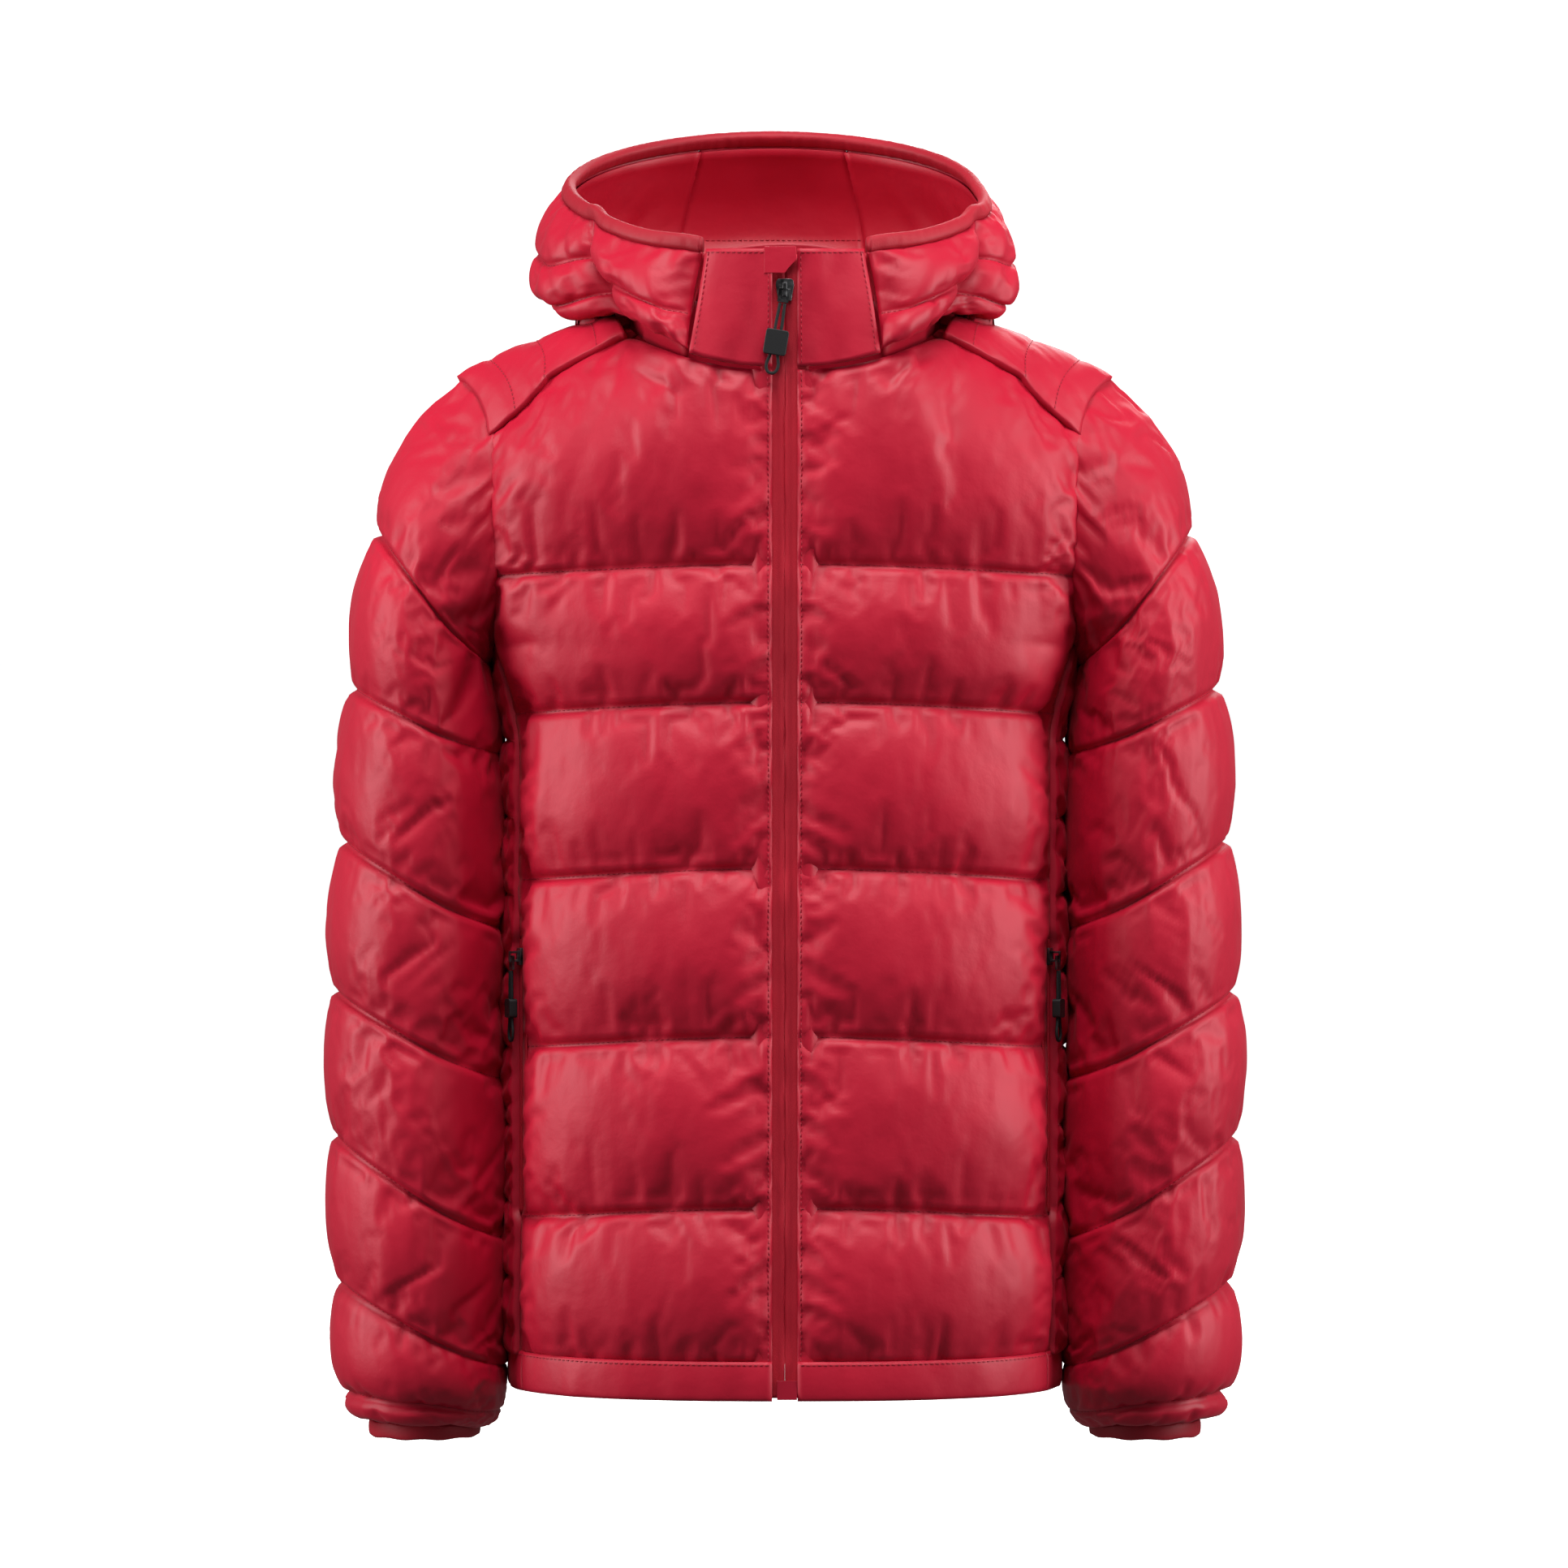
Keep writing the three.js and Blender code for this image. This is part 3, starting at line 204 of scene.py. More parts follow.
def half_width(z):
    return mix(178, CHEST_HALF, smooth(-300, -240, z)) + 28 * np.clip((z + 240) / 50, 0, 1)


def ridge_z(x):
    out = np.maximum(0, x - NECK_HALF)
    inside = np.maximum(0, 1 - (x / NECK_HALF) ** 2)
    return -30 - 39 * (0.65 * out / 103 + 0.35 * (out / 103) ** 2) + 230 * inside**2


def closing(x, z):
    return np.maximum(0, (z - ridge_z(x) + 120) / 120)


def depth_at(x, z):
    across = np.maximum(0, 1 - (x / half_width(z)) ** 2.5) ** 0.4
    return half_depth(z) * across * np.sqrt(np.maximum(0, 1 - closing(x, z) ** 2))


def on_body(x, z, side):
    x, z = np.broadcast_arrays(np.asarray(x, float), np.asarray(z, float))
    return np.stack([x, middle_y(z) + side * depth_at(np.abs(x), z), z], -1)


def armhole_edge(z):
    return CHEST_HALF + 24 * np.exp((np.minimum(z, ARMHOLE_TOP) - ARMHOLE_TOP) / 16)


def front_edge(z):
    return mix(171, armhole_edge(z), smooth(-310, -220, z))


def neck_z(x, side):
    return -66.5 + 36.5 * (x / NECK_HALF) ** 2.3 if side < 0 else -30 * (x / NECK_HALF) ** 2


def panel_top(x, side):
    start, end = (91, -107) if side < 0 else (70, -135)
    t = np.maximum(0, (x - start) / (CHEST_HALF - start))
    return np.where(x <= start, neck_z(np.minimum(x, start), side), mix(neck_z(start, side), end, t**1.12))


# %% [markdown]
# ## Cloth grids
# A piece of cloth is a grid of points: rows follow the quilting, columns run up the piece.
# Quilting rows and borders are the seams, which hold the cloth down while the fill lifts the rest.

# %% Grid helpers
def unit(v):
    return v / np.maximum(np.linalg.norm(v, axis=-1, keepdims=True), 1e-9)


def slopes(grid, closed):
    up = np.gradient(grid, axis=0)
    if closed:
        along = (np.roll(grid, -1, 1) - np.roll(grid, 1, 1)) / 2
    else:
        along = np.gradient(grid, axis=1)
    return up, along


def outward(grid, inside, closed=False):
    """Normals of a grid, facing away from the points inside it."""
    up, along = slopes(grid, closed)
    n = unit(np.cross(up, along))
    return n if np.sum(n * (grid - inside)) > 0 else -n


def faces_out(grid, normals, closed=False):
    """True if a grid's own winding already faces the way its normals do."""
    up, along = slopes(grid, closed)
    return np.sum(np.cross(along, up) * normals) > 0


def lengths(grid):
    """Distance along each row and column, in millimetres."""
    a = np.zeros(grid.shape[:2])
    b = np.zeros(grid.shape[:2])
    a[:, 1:] = np.cumsum(np.linalg.norm(np.diff(grid, axis=1), axis=-1), 1)
    b[1:] = np.cumsum(np.linalg.norm(np.diff(grid, axis=0), axis=-1), 0)
    return a, b


def value_noise(u, v, seed):
    """Smooth noise from -1 to 1 that repeats only after 256 steps."""
    table = np.random.default_rng(seed).uniform(-1, 1, (256, 256))
    iu, iv = np.floor(u).astype(int), np.floor(v).astype(int)
    fu, fv = u - iu, v - iv
    fu, fv = fu * fu * (3 - 2 * fu), fv * fv * (3 - 2 * fv)
    at = lambda i, j: table[i % 256, j % 256]
    low = mix(at(iu, iv), at(iu + 1, iv), fu)
    high = mix(at(iu, iv + 1), at(iu + 1, iv + 1), fu)
    return mix(low, high, fv)


def finer(grid, closed=False):
    """Twice as many rows and columns, on smooth lines through the old ones."""
    def along(g, wrap):
        if wrap:
            before, after, second = np.roll(g, 1, 0), np.roll(g, -1, 0), np.roll(g, -2, 0)
            middle = (-before + 9 * g + 9 * after - second) / 16
            return np.stack([g, middle], 1).reshape(-1, *g.shape[1:])
        ends = np.concatenate([2 * g[:1] - g[1:2], g, 2 * g[-1:] - g[-2:-1]])
        middle = (-ends[:-3] + 9 * ends[1:-2] + 9 * ends[2:-1] - ends[3:]) / 16
        out = np.empty((2 * len(g) - 1, *g.shape[1:]))
        out[::2] = g
        out[1::2] = middle
        return out
    rows = along(grid, False)
    return along(rows.swapaxes(0, 1), closed).swapaxes(0, 1)


def seam_rows(counts):
    """Row numbers of the seams, from the rows in each baffle."""
    return np.concatenate([[0], np.cumsum(counts)])


def baffle_share(count, seams):
    """For each row or column, its place from 0 to 1 between the two nearest seams."""
    t = np.zeros(count)
    for a, b in zip(seams[:-1], seams[1:]):
        t[a : b + 1] = np.linspace(0, 1, b - a + 1)
    return t


# %% [markdown]
# ## How a filled panel looks
# Between two seams the fill lifts the cloth into a round baffle.
# Sewing gathers the cloth a little, so puckers start at each seam and fade after two or three centimetres.

# %% Loft and puckers
def seam_maps(grid, rows, cols, closed):
    """Place between two seams (0 to 1), distance to the nearest seam row and to the nearest border or seam column."""
    count, wide = grid.shape[:2]
    a, b = lengths(grid)
    t = baffle_share(count, rows)[:, None] * np.ones((1, wide))
    tall = np.abs(np.gradient(b, axis=0)) * np.diff(rows).mean()
    to_seam = np.minimum(t, 1 - t) * tall
    edge = np.full((count, wide), 1e3) if closed else np.minimum(a, a[:, -1:] - a)
    if cols is not None:
        s = baffle_share(wide, cols)
        edge = np.minimum(edge, np.minimum(s, 1 - s)[None, :] * np.diff(cols).mean() * np.gradient(a, axis=1))
    return a, b, t, to_seam, edge


def loft(piece):
    """How far the cloth stands out from the smooth surface, before it is simulated."""
    a, b, t, to_seam, edge = seam_maps(piece["grid"], piece["rows"], piece["cols"], piece["closed"])
    seed = piece["seed"]
    puff = np.sin(np.pi * np.clip(t, 0, 1)) ** 0.6 * (1 - np.exp(-edge / piece["edge_soft"]))
    if piece["cols"] is not None and len(piece["rows"]) == 2:
        puff = np.minimum(1, edge / 12) ** 0.6 * np.sin(np.pi * t) ** 0.35
    out = -piece["seam_in"] + (piece["seam_in"] + piece["puff"]) * puff + piece["lift"]
    from_seam = np.exp(-to_seam / 18) * (1 - np.exp(-to_seam / 3))
    from_edge = np.exp(-edge / 18) * (1 - np.exp(-edge / 3))
    soft = piece["soft"]
    out = out + 1.6 * soft * from_seam * value_noise(a / 9 + 7, b / 60, seed)
    out = out + piece["gather"] * from_edge * value_noise((b + 0.5 * a) / 9 + 3, a / 34, seed + 1)
    out = out + 1.1 * soft * puff * value_noise((a + 0.15 * b) / 19 + 5, b / 95, seed + 2)
    out = out + 2.2 * soft * puff * value_noise(a / 70, b / 48, seed + 3)
    return out


def quilted(name, node, grid, inside, rows, cols=None, closed=False, seed=1, **more):
    piece = dict(
        name=name, node=node, grid=grid, closed=closed, rows=np.asarray(rows), cols=cols, seed=seed,
        seam_in=5.5, puff=3.0, gather=1.6, lift=0.0, soft=1.0, thick=9.0, edge_soft=8.0, swell=-0.03, pressure=4.0,
    )
    piece.update(more)
    piece["normals"] = outward(grid, inside, closed)
    piece["start"] = grid + piece["normals"] * loft(piece)[..., None]
    pinned = np.zeros(grid.shape[:2], bool)
    pinned[piece["rows"]] = True
    if not closed:
        pinned[:, [0, -1]] = True
    if cols is not None:
        pinned[:, cols] = True
    piece["pinned"] = pinned
    return piece


# %% [markdown]
# ## Body panels
# Fronts and back are quilted in six baffles; the side panels run under the arm in narrower ones.

# %% Body panel grids
HEM, QUILT = -693.5, (-595, -487, -381, -276, -189)
BAFFLES = (20, 22, 21, 21, 18, 25)
POCKET_LOW, POCKET_HIGH = -604, -429


def pocket_slit(z):
    """1 beside the pocket zip, where the panels' edges draw back."""
    return smooth(POCKET_LOW - 6, POCKET_LOW + 2, z) * (1 - smooth(POCKET_HIGH - 2, POCKET_HIGH + 6, z))


def panel_rows(x, top):
    droop = 9 * (x / 178) ** 2
    levels = [np.full_like(x, HEM)] + [z - droop for z in QUILT] + [top]
    out = [levels[0][None]]
    for low, high, n in zip(levels[:-1], levels[1:], BAFFLES):
        steps = (np.arange(1, n + 1) / n)[:, None]
        out.append(mix(low[None], high[None], steps))
    return np.concatenate(out)


def half_panel(sign, side, inner, columns):
    share = np.linspace(0, 1, columns)
    nominal = mix(inner, CHEST_HALF, share)
    z = panel_rows(nominal, panel_top(nominal, side))
    edge = front_edge(z) + 1.0 * smooth(-262, -235, z) - (1.9 * pocket_slit(z) if side < 0 else 0)
    x = inner + (edge - inner) * share
    return on_body(sign * x, z, side)


def body_inside(grid):
    z = grid[..., 2]
    return np.stack([grid[..., 0] * 0.55, middle_y(z), np.minimum(z, -130)], -1)


SIDE_LEVELS = (-693.5, -645, -597, -548, -499, -450, -401, -352, -303, -242.5)


def side_grid(sign):
    t = np.linspace(-1, 1, 25)[None, :]
    bands = [np.linspace(a, b, 11)[1:] for a, b in zip(SIDE_LEVELS, SIDE_LEVELS[1:])]
    z = np.concatenate([[SIDE_LEVELS[0]]] + bands)
    z = z[:, None] * np.ones_like(t)
    edge = on_body(front_edge(z), z, -1)[..., 1]
    reach = np.abs(edge - middle_y(z)) * t
    reach = reach + 4.3 * pocket_slit(z) * np.clip(-t * 6 - 5, 0, 1)
    share = np.abs(reach) / half_depth(z)
    x = half_width(z) * np.maximum(0, 1 - share**2.5) ** 0.4
    return np.stack([sign * x, middle_y(z) + reach, z], -1)


def yoke_grid(sign):
    t = np.linspace(-1, 1, 41)[:, None]
    s = np.linspace(0, 1, 25)[None, :]
    side = np.where(t < 0, -1.0, 1.0)
    start, end = np.where(t < 0, 91, 70), np.where(t < 0, -107, -135)
    turn = lambda x, z: np.arccos(np.clip(closing(x, z), -1, 1))

    def base(q):
        inner_x = NECK_HALF - (NECK_HALF - start) * q * q
        outer_z = mix(ARMHOLE_TOP, end, q * q)
        outer_x = armhole_edge(outer_z)
        neck = np.where(t < 0, neck_z(inner_x, -1), neck_z(inner_x, 1))
        return mix(inner_x, outer_x, s), mix(turn(inner_x, neck), turn(outer_x, outer_z), s)

    here_x, here_turn = base(t)
    one_x, one_turn = base(np.ones_like(t))
    inner = np.where(t < 0, 8, 0)
    nominal = mix(start, CHEST_HALF, s)
    seam_z = np.where(t < 0, panel_top(nominal, -1), panel_top(nominal, 1))
    share = (nominal - inner) / (CHEST_HALF - inner)
    seam_x = inner + (front_edge(seam_z) - inner) * share
    x = here_x + (seam_x - one_x) * t * t
    angle = here_turn + (turn(seam_x, seam_z) - one_turn) * t * t
    z = ridge_z(x) - 120 * (1 - np.cos(angle))
    y = middle_y(z) + side * depth_at(x, z)
    return np.stack([sign * x, y, z], -1)


pieces = []
body_seams = seam_rows(BAFFLES)
for n, sign in sides:
    grid = half_panel(sign, -1, 8, 37)
    a = lengths(grid)[0]
    far = a[:, -1:] - a
    at_zip, at_side = np.exp(-((a / 7) ** 2)), np.exp(-((far / 7) ** 2))
    slit = pocket_slit(grid[..., 2])
    thick = mix(2.8, 9.0, smooth(9, 17, a)) - 6.2 * slit * (1 - smooth(5, 12, far))
    pieces.append(quilted(
        f"front_{n}", f"front_panel_{n}", grid, body_inside(grid), body_seams, seed=11 + sign, gather=2.2,
        seam_in=5.5 - 3.9 * at_zip - 3.4 * at_side, puff=3.5, thick=thick, swell=-0.025,
    ))
    grid = side_grid(sign)
    seams = seam_rows([10] * 9)
    pieces.append(quilted(
        f"side_{n}", f"side_panel_{n}", grid, body_inside(grid), seams, seed=21 + sign,
        seam_in=-1.5, puff=3.4, soft=0.6, thick=11,
    ))
    grid = yoke_grid(sign)
    pieces.append(quilted(
        f"shoulder_{n}", f"yoke_{n}", grid, body_inside(grid), [0, 40], cols=[0, 4, 12, 19, 24], seed=31 + sign,
        seam_in=1.0, puff=0.5, soft=0.7, thick=11, gather=0.4, swell=0.0, pressure=1.0,
    ))
left, right = half_panel(1, 1, 0, 38), half_panel(-1, 1, 0, 38)
grid = np.concatenate([right[:, :0:-1], left], 1)
pieces.append(quilted("back", "back_panel", grid, body_inside(grid), body_seams, seed=41))
print("body pieces:", len(pieces))

# %% [markdown]
# ## Collar and hood
# The collar side has two stacked baffles and tucks under the hood; the hood hangs open behind the neck.

# %% Collar and hood grids
COLLAR_TURN, CENTRE_TURN, RIM = 66, 159, 0.985
HOOD_ROWS, HOOD_SEAMS = 31, [0, 10, 20, 30]


def neck_point(angle):
    turn = np.radians(angle)
    x = NECK_HALF * np.sin(turn)
    front = np.cos(turn) >= 0
    reach = np.abs(x)
    z = np.where(front, neck_z(reach, -1), neck_z(reach, 1))
    p = on_body(x, z, np.where(front, -1, 1))
    return p + np.array([0, 0, 2.2])


def rim_point(angle):
    turn = np.radians(angle)
    return np.stack([136 * np.sin(turn), -35 - 130 * np.cos(turn), 47 - 41 * np.cos(turn)], -1)


def hood_point(angle, s):
    angle, s = np.broadcast_arrays(np.asarray(angle, float), np.asarray(s, float))
    a = np.abs(np.where(angle > 180, 360 - angle, angle))
    hood, back = smooth(66, 84, a), smooth(90, 170, a)
    pinch = lambda c, w: 1 - np.exp(-(((a - c) / w) ** 2))
    ease = pinch(COLLAR_TURN, 4) * np.where(a < COLLAR_TURN, pinch(28, 9), 1)
    low_out = mix(13, mix(60, 100, back), hood) * ease
    low_up = mix(14, mix(-16, -55, smooth(125, 178, a)), hood)
    high_out = mix(13, mix(24, 50, back), hood) * ease
    high_up = mix(-24, mix(-38, -50, back), hood)
    turn = np.radians(angle)
    out = np.stack([np.sin(turn), -np.cos(turn), np.zeros_like(turn)], -1)
    up = np.array([0, 0, 1.0])
    low, high = neck_point(angle), rim_point(angle)
    c1 = low + out * low_out[..., None] + up * low_up[..., None]
    c2 = high + out * high_out[..., None] + up * high_up[..., None]
    q = s[..., None]
    p = low * (1 - q) ** 3 + 3 * c1 * q * (1 - q) ** 2 + 3 * c2 * q * q * (1 - q) + high * q**3
    # A hood never hangs quite straight: this one sags a few millimetres to one side.
    p[..., 0] -= 8 * smooth(0, 0.5, s) * smooth(70, 100, a)
    return p


def hood_strip(start, end, rows, cols):
    """Grid between two angles; start may change with height."""
    s = np.linspace(0, 1, rows)[:, None]
    t = np.linspace(0, 1, cols)[None, :]
    angle = mix(start(s), end, t)
    return hood_point(angle, s * RIM)


def hood_side_grid(sign, rows):
    return hood_strip(lambda s: sign * COLLAR_TURN + 0 * s, sign * CENTRE_TURN, rows, 57)


def hood_centre_grid():
    return hood_strip(lambda s: CENTRE_TURN + 0 * s, 360 - CENTRE_TURN, HOOD_ROWS, 25)


def hood_inside(grid):
    return np.stack([grid[..., 0] * 0, grid[..., 1] * 0 - 40, grid[..., 2]], -1)


def chin_edge(s):
    return mix(34, 22, s) + 1


def rim_thin(rows):
    """Thickness that falls towards the bound edge."""
    return mix(7.0, 5.6, smooth(0.85, 1.0, np.linspace(0, 1, rows)))[:, None] * np.ones((1, 1))


for n, sign in sides:
    grid = hood_strip(lambda s: sign * chin_edge(s), sign * COLLAR_TURN, 25, 17)
    pieces.append(quilted(
        f"collar_{n}", f"collar_side_{n}", grid, hood_inside(grid), [0, 11, 24], seed=51 + sign, thick=rim_thin(25),
        seam_in=2.5, puff=3.5, swell=-0.01, pressure=2.0,
    ))
    grid = hood_side_grid(sign, HOOD_ROWS)
    pieces.append(quilted(
        f"hood_{n}", f"hood_side_{n}", grid, hood_inside(grid), HOOD_SEAMS, seed=61 + sign, thick=rim_thin(HOOD_ROWS),
        seam_in=2.2, puff=2.2, swell=-0.01, pressure=2.0,
    ))
grid = hood_centre_grid()
pieces.append(quilted(
    "hood_middle", "hood_centre", grid, hood_inside(grid), HOOD_SEAMS, seed=71, thick=rim_thin(HOOD_ROWS), seam_in=4.0,
))
print("pieces with the collar and hood:", len(pieces))

# %% [markdown]
# ## Sleeves
# A sleeve is a tube through a few rings that lean with the quilting, gathered into an elastic cuff.

# %% Sleeve grids
RINGS = [
    (263, -170, 190, -256, -68, 76), (280, -270, 186, -312, -70, 77), (286, -368, 184, -424, -74, 76),
    (291, -464, 183, -520, -78, 75), (291.5, -557, 183, -622, -82, 73), (289, -650, 183, -704, -84, 68),
    (284, -722, 186, -731, -85, 60), (270, -740, 193, -740, -85, 44),
]
AROUND = 88
SLEEVE_BAFFLES = (20, 20, 20, 20, 20, 20, 10, 6)


def armhole_ring(turn):
    z = -154.5 + 85.5 * np.cos(turn)
    side = np.where(turn <= np.pi, -1, 1)
    return on_body(armhole_edge(z), z, side) + np.array([0.5, 0, 0])


def sleeve_ring(ring, turn):
    ox, oz, ix, iz, cy, depth = ring
    c, s = np.cos(turn), np.sin(turn)
    return np.stack([(ox + ix) / 2 + (ox - ix) / 2 * c, cy - depth * s, (oz + iz) / 2 + (oz - iz) / 2 * c], -1)


def sleeve_grid(sign, counts=SLEEVE_BAFFLES, around=AROUND):
    turn = np.arange(around) / around * 2 * np.pi
    keys = np.array([armhole_ring(turn)] + [sleeve_ring(r, turn) for r in RINGS])
    # Centripetal spacing keeps the short last stretch at the cuff from overshooting.
    first, last = 2 * keys[0] - keys[1], 2 * keys[-1] - keys[-2]
    p = np.concatenate([first[None], keys, last[None]])
    gaps = np.sqrt(np.linalg.norm(np.diff(p, axis=0), axis=-1))
    rows = [p[1]]
    for k, n in enumerate(counts):
        a, b, c, d = p[k], p[k + 1], p[k + 2], p[k + 3]
        ga, gb, gc = (gaps[k + i][:, None] for i in range(3))
        leave = ((b - a) / ga - (c - a) / (ga + gb) + (c - b) / gb) * gb
        arrive = ((c - b) / gb - (d - b) / (gb + gc) + (d - c) / gc) * gb
        for t in np.arange(1, n + 1) / n:
            h = (2 * t**3 - 3 * t**2 + 1) * b + (t**3 - 2 * t**2 + t) * leave
            rows.append(h + (3 * t**2 - 2 * t**3) * c + (t**3 - t**2) * arrive)
    grid = np.array(rows)
    grid[..., 0] *= sign
    return grid


for n, sign in sides:
    grid = sleeve_grid(sign)
    centre = grid.mean(1, keepdims=True) + np.zeros_like(grid)
    # The head of the sleeve is fuller on its outside; on the inside the arm lies against the body.
    turn = np.cos(np.arange(AROUND) / AROUND * 2 * np.pi)[None, :]
    row = np.arange(len(grid))[:, None]
    beside = smooth(0.2, 0.95, -turn) * smooth(10, 26, row)
    head = np.sin(np.pi * np.clip(row / SLEEVE_BAFFLES[0], 0, 1)) ** 0.8 * np.maximum(0, turn) ** 0.8
    start = np.exp(-row / 1.5)
    # A shallow hollow beside the pocket leaves its pull room to swing.
    hollow = beside * np.exp(-(((grid[..., 2] + 480) / 50) ** 2))
    grid[:6, :, 0] -= sign * 5.0 * (1 - np.arange(6)[:, None] / 6)
    pieces.append(quilted(
        f"arm_{n}", f"sleeve_{n}", grid, centre, seam_rows(SLEEVE_BAFFLES), closed=True, seed=81 + sign,
        seam_in=4.5 - 8.5 * beside - 4.0 * start, puff=3.0 + 1.2 * beside, lift=4.5 * head - 2.0 * hollow,
        soft=0.8, swell=-0.02,
    ))
print("quilted pieces:", len(pieces), "grid points:", sum(p["grid"][..., 0].size for p in pieces))

# %% [markdown]
# ## Filling the baffles
# Each panel is blown out softly between its seams. It is cut a little larger than its frame, so the cloth wrinkles.
# Seams stay where they are, and no point may wander further than a few millimetres.

# %% Cloth simulation
CAP = 7.0
FRAMES = 16


def plain_faces(rows, cols, closed, shift=0):
    r = np.arange(rows - 1)[:, None]
    c = np.arange(cols if closed else cols - 1)[None, :]
    d = (c + 1) % cols
    quads = np.stack([r * cols + c, r * cols + d, (r + 1) * cols + d, (r + 1) * cols + c], -1)
    return quads.reshape(-1, 4) + shift


def add_cloth(piece):
    rows, cols = piece["start"].shape[:2]
    faces = plain_faces(rows, cols, piece["closed"])
    if not faces_out(piece["grid"], piece["normals"], piece["closed"]):
        faces = faces[:, ::-1]
    mesh = bpy.data.meshes.new("cloth")
    mesh.from_pydata((piece["start"].reshape(-1, 3) * MM).tolist(), [], faces.tolist())
    cloth = bpy.data.objects.new("cloth", mesh)
    link(cloth)
    held = cloth.vertex_groups.new(name="held")
    held.add(np.flatnonzero(piece["pinned"]).tolist(), 1.0, "REPLACE")
    modifier = cloth.modifiers.new("fill", "CLOTH")
    s = modifier.settings
    s.vertex_group_mass = "held"
    s.quality = 3
    s.mass = 0.2
    s.tension_stiffness = s.compression_stiffness = 12
    s.shear_stiffness = 3
    s.bending_stiffness = 0.05
    s.use_pressure = True
    s.uniform_pressure_force = piece["pressure"]
    s.shrink_min = piece["swell"]
    s.effector_weights.gravity = 0
    modifier.collision_settings.use_collision = False
    modifier.point_cache.frame_start = 1
    modifier.point_cache.frame_end = 20
    return cloth


cloths = [add_cloth(piece) for piece in pieces]
for step in range(1, FRAMES + 1):
    bpy.context.scene.frame_set(step)
graph = bpy.context.evaluated_depsgraph_get()
for piece, cloth in zip(pieces, cloths):
    done = cloth.evaluated_get(graph).data
    co = np.empty(len(done.vertices) * 3)
    done.vertices.foreach_get("co", co)
    move = co.reshape(piece["start"].shape) / MM - piece["start"]
    size = np.linalg.norm(move, axis=-1, keepdims=True)
    piece["filled"] = piece["start"] + move * (CAP * np.tanh(size / CAP) / np.maximum(size, 1e-6))
    print(piece["name"], "moved up to", round(float(size.max()), 1), "mm, mean", round(float(size.mean()), 2))
for cloth in cloths:
    mesh = cloth.data
    bpy.data.objects.remove(cloth)
    bpy.data.meshes.remove(mesh)
bpy.context.scene.frame_set(1)

# %% [markdown]
# ## Materials
# The shell is a satin nylon: smooth, a little glossy, with a sheen at grazing angles and tiny crinkles.
# Every material gets its grain from nodes, with no picture files.

# %% Material recipes
def material(name, colour, roughness, metallic=0.0, sheen=0.0, vary=0.12, vary_scale=9.0, grain=900.0,
             grain_depth=0.00004, crinkle=0.0, crinkle_scale=120.0, painted_glint=None):
    made = bpy.data.materials.new(name)
    made.use_nodes = True
    nodes, links = made.node_tree.nodes, made.node_tree.links
    shader = nodes["Principled BSDF"]
    for socket, value in {
        "Metallic": metallic, "Sheen Weight": sheen, "Sheen Roughness": 0.35, "Sheen Tint": (1.0, 0.55, 0.58, 1),
        "Specular IOR Level": 0.5 if metallic else 0.36,
    }.items():
        shader.inputs[socket].default_value = value
    where = nodes.new("ShaderNodeTexCoord")

    def noise(scale, detail):
        node = nodes.new("ShaderNodeTexNoise")
        node.inputs["Scale"].default_value = scale
        node.inputs["Detail"].default_value = detail
        links.new(where.outputs["Object"], node.inputs["Vector"])
        return node

    patches = noise(vary_scale, 4)
    ramp = nodes.new("ShaderNodeValToRGB")
    low = tuple(c * (1 - vary) for c in colour)
    high = tuple(min(1, c * (1 + vary)) for c in colour)
    ramp.color_ramp.elements[0].position, ramp.color_ramp.elements[0].color = 0.35, (*low, 1)
    # An optional colour for the lighter end of the patches; the slider uses it for painted glints, silvery spots on its
    # dark lacquer.
    ramp.color_ramp.elements[1].position, ramp.color_ramp.elements[1].color = 0.65, (*(painted_glint or high), 1)
    links.new(patches.outputs["Fac"], ramp.inputs["Fac"])
    links.new(ramp.outputs["Color"], shader.inputs["Base Color"])
    gloss = nodes.new("ShaderNodeMapRange")
    gloss.inputs["To Min"].default_value = roughness - 0.05
    gloss.inputs["To Max"].default_value = roughness + 0.05
    links.new(patches.outputs["Fac"], gloss.inputs["Value"])
    links.new(gloss.outputs["Result"], shader.inputs["Roughness"])

    def bump(height, strength, depth):
        node = nodes.new("ShaderNodeBump")
        node.inputs["Strength"].default_value = strength
        node.inputs["Distance"].default_value = depth
        links.new(height.outputs["Fac"], node.inputs["Height"])
        return node

    relief = bump(noise(grain, 2), 0.6, grain_depth)
    if crinkle > 0:
        folds = bump(noise(crinkle_scale, 3), 0.7, crinkle)
        links.new(relief.outputs["Normal"], folds.inputs["Normal"])
        relief = folds
    links.new(relief.outputs["Normal"], shader.inputs["Normal"])
    return made


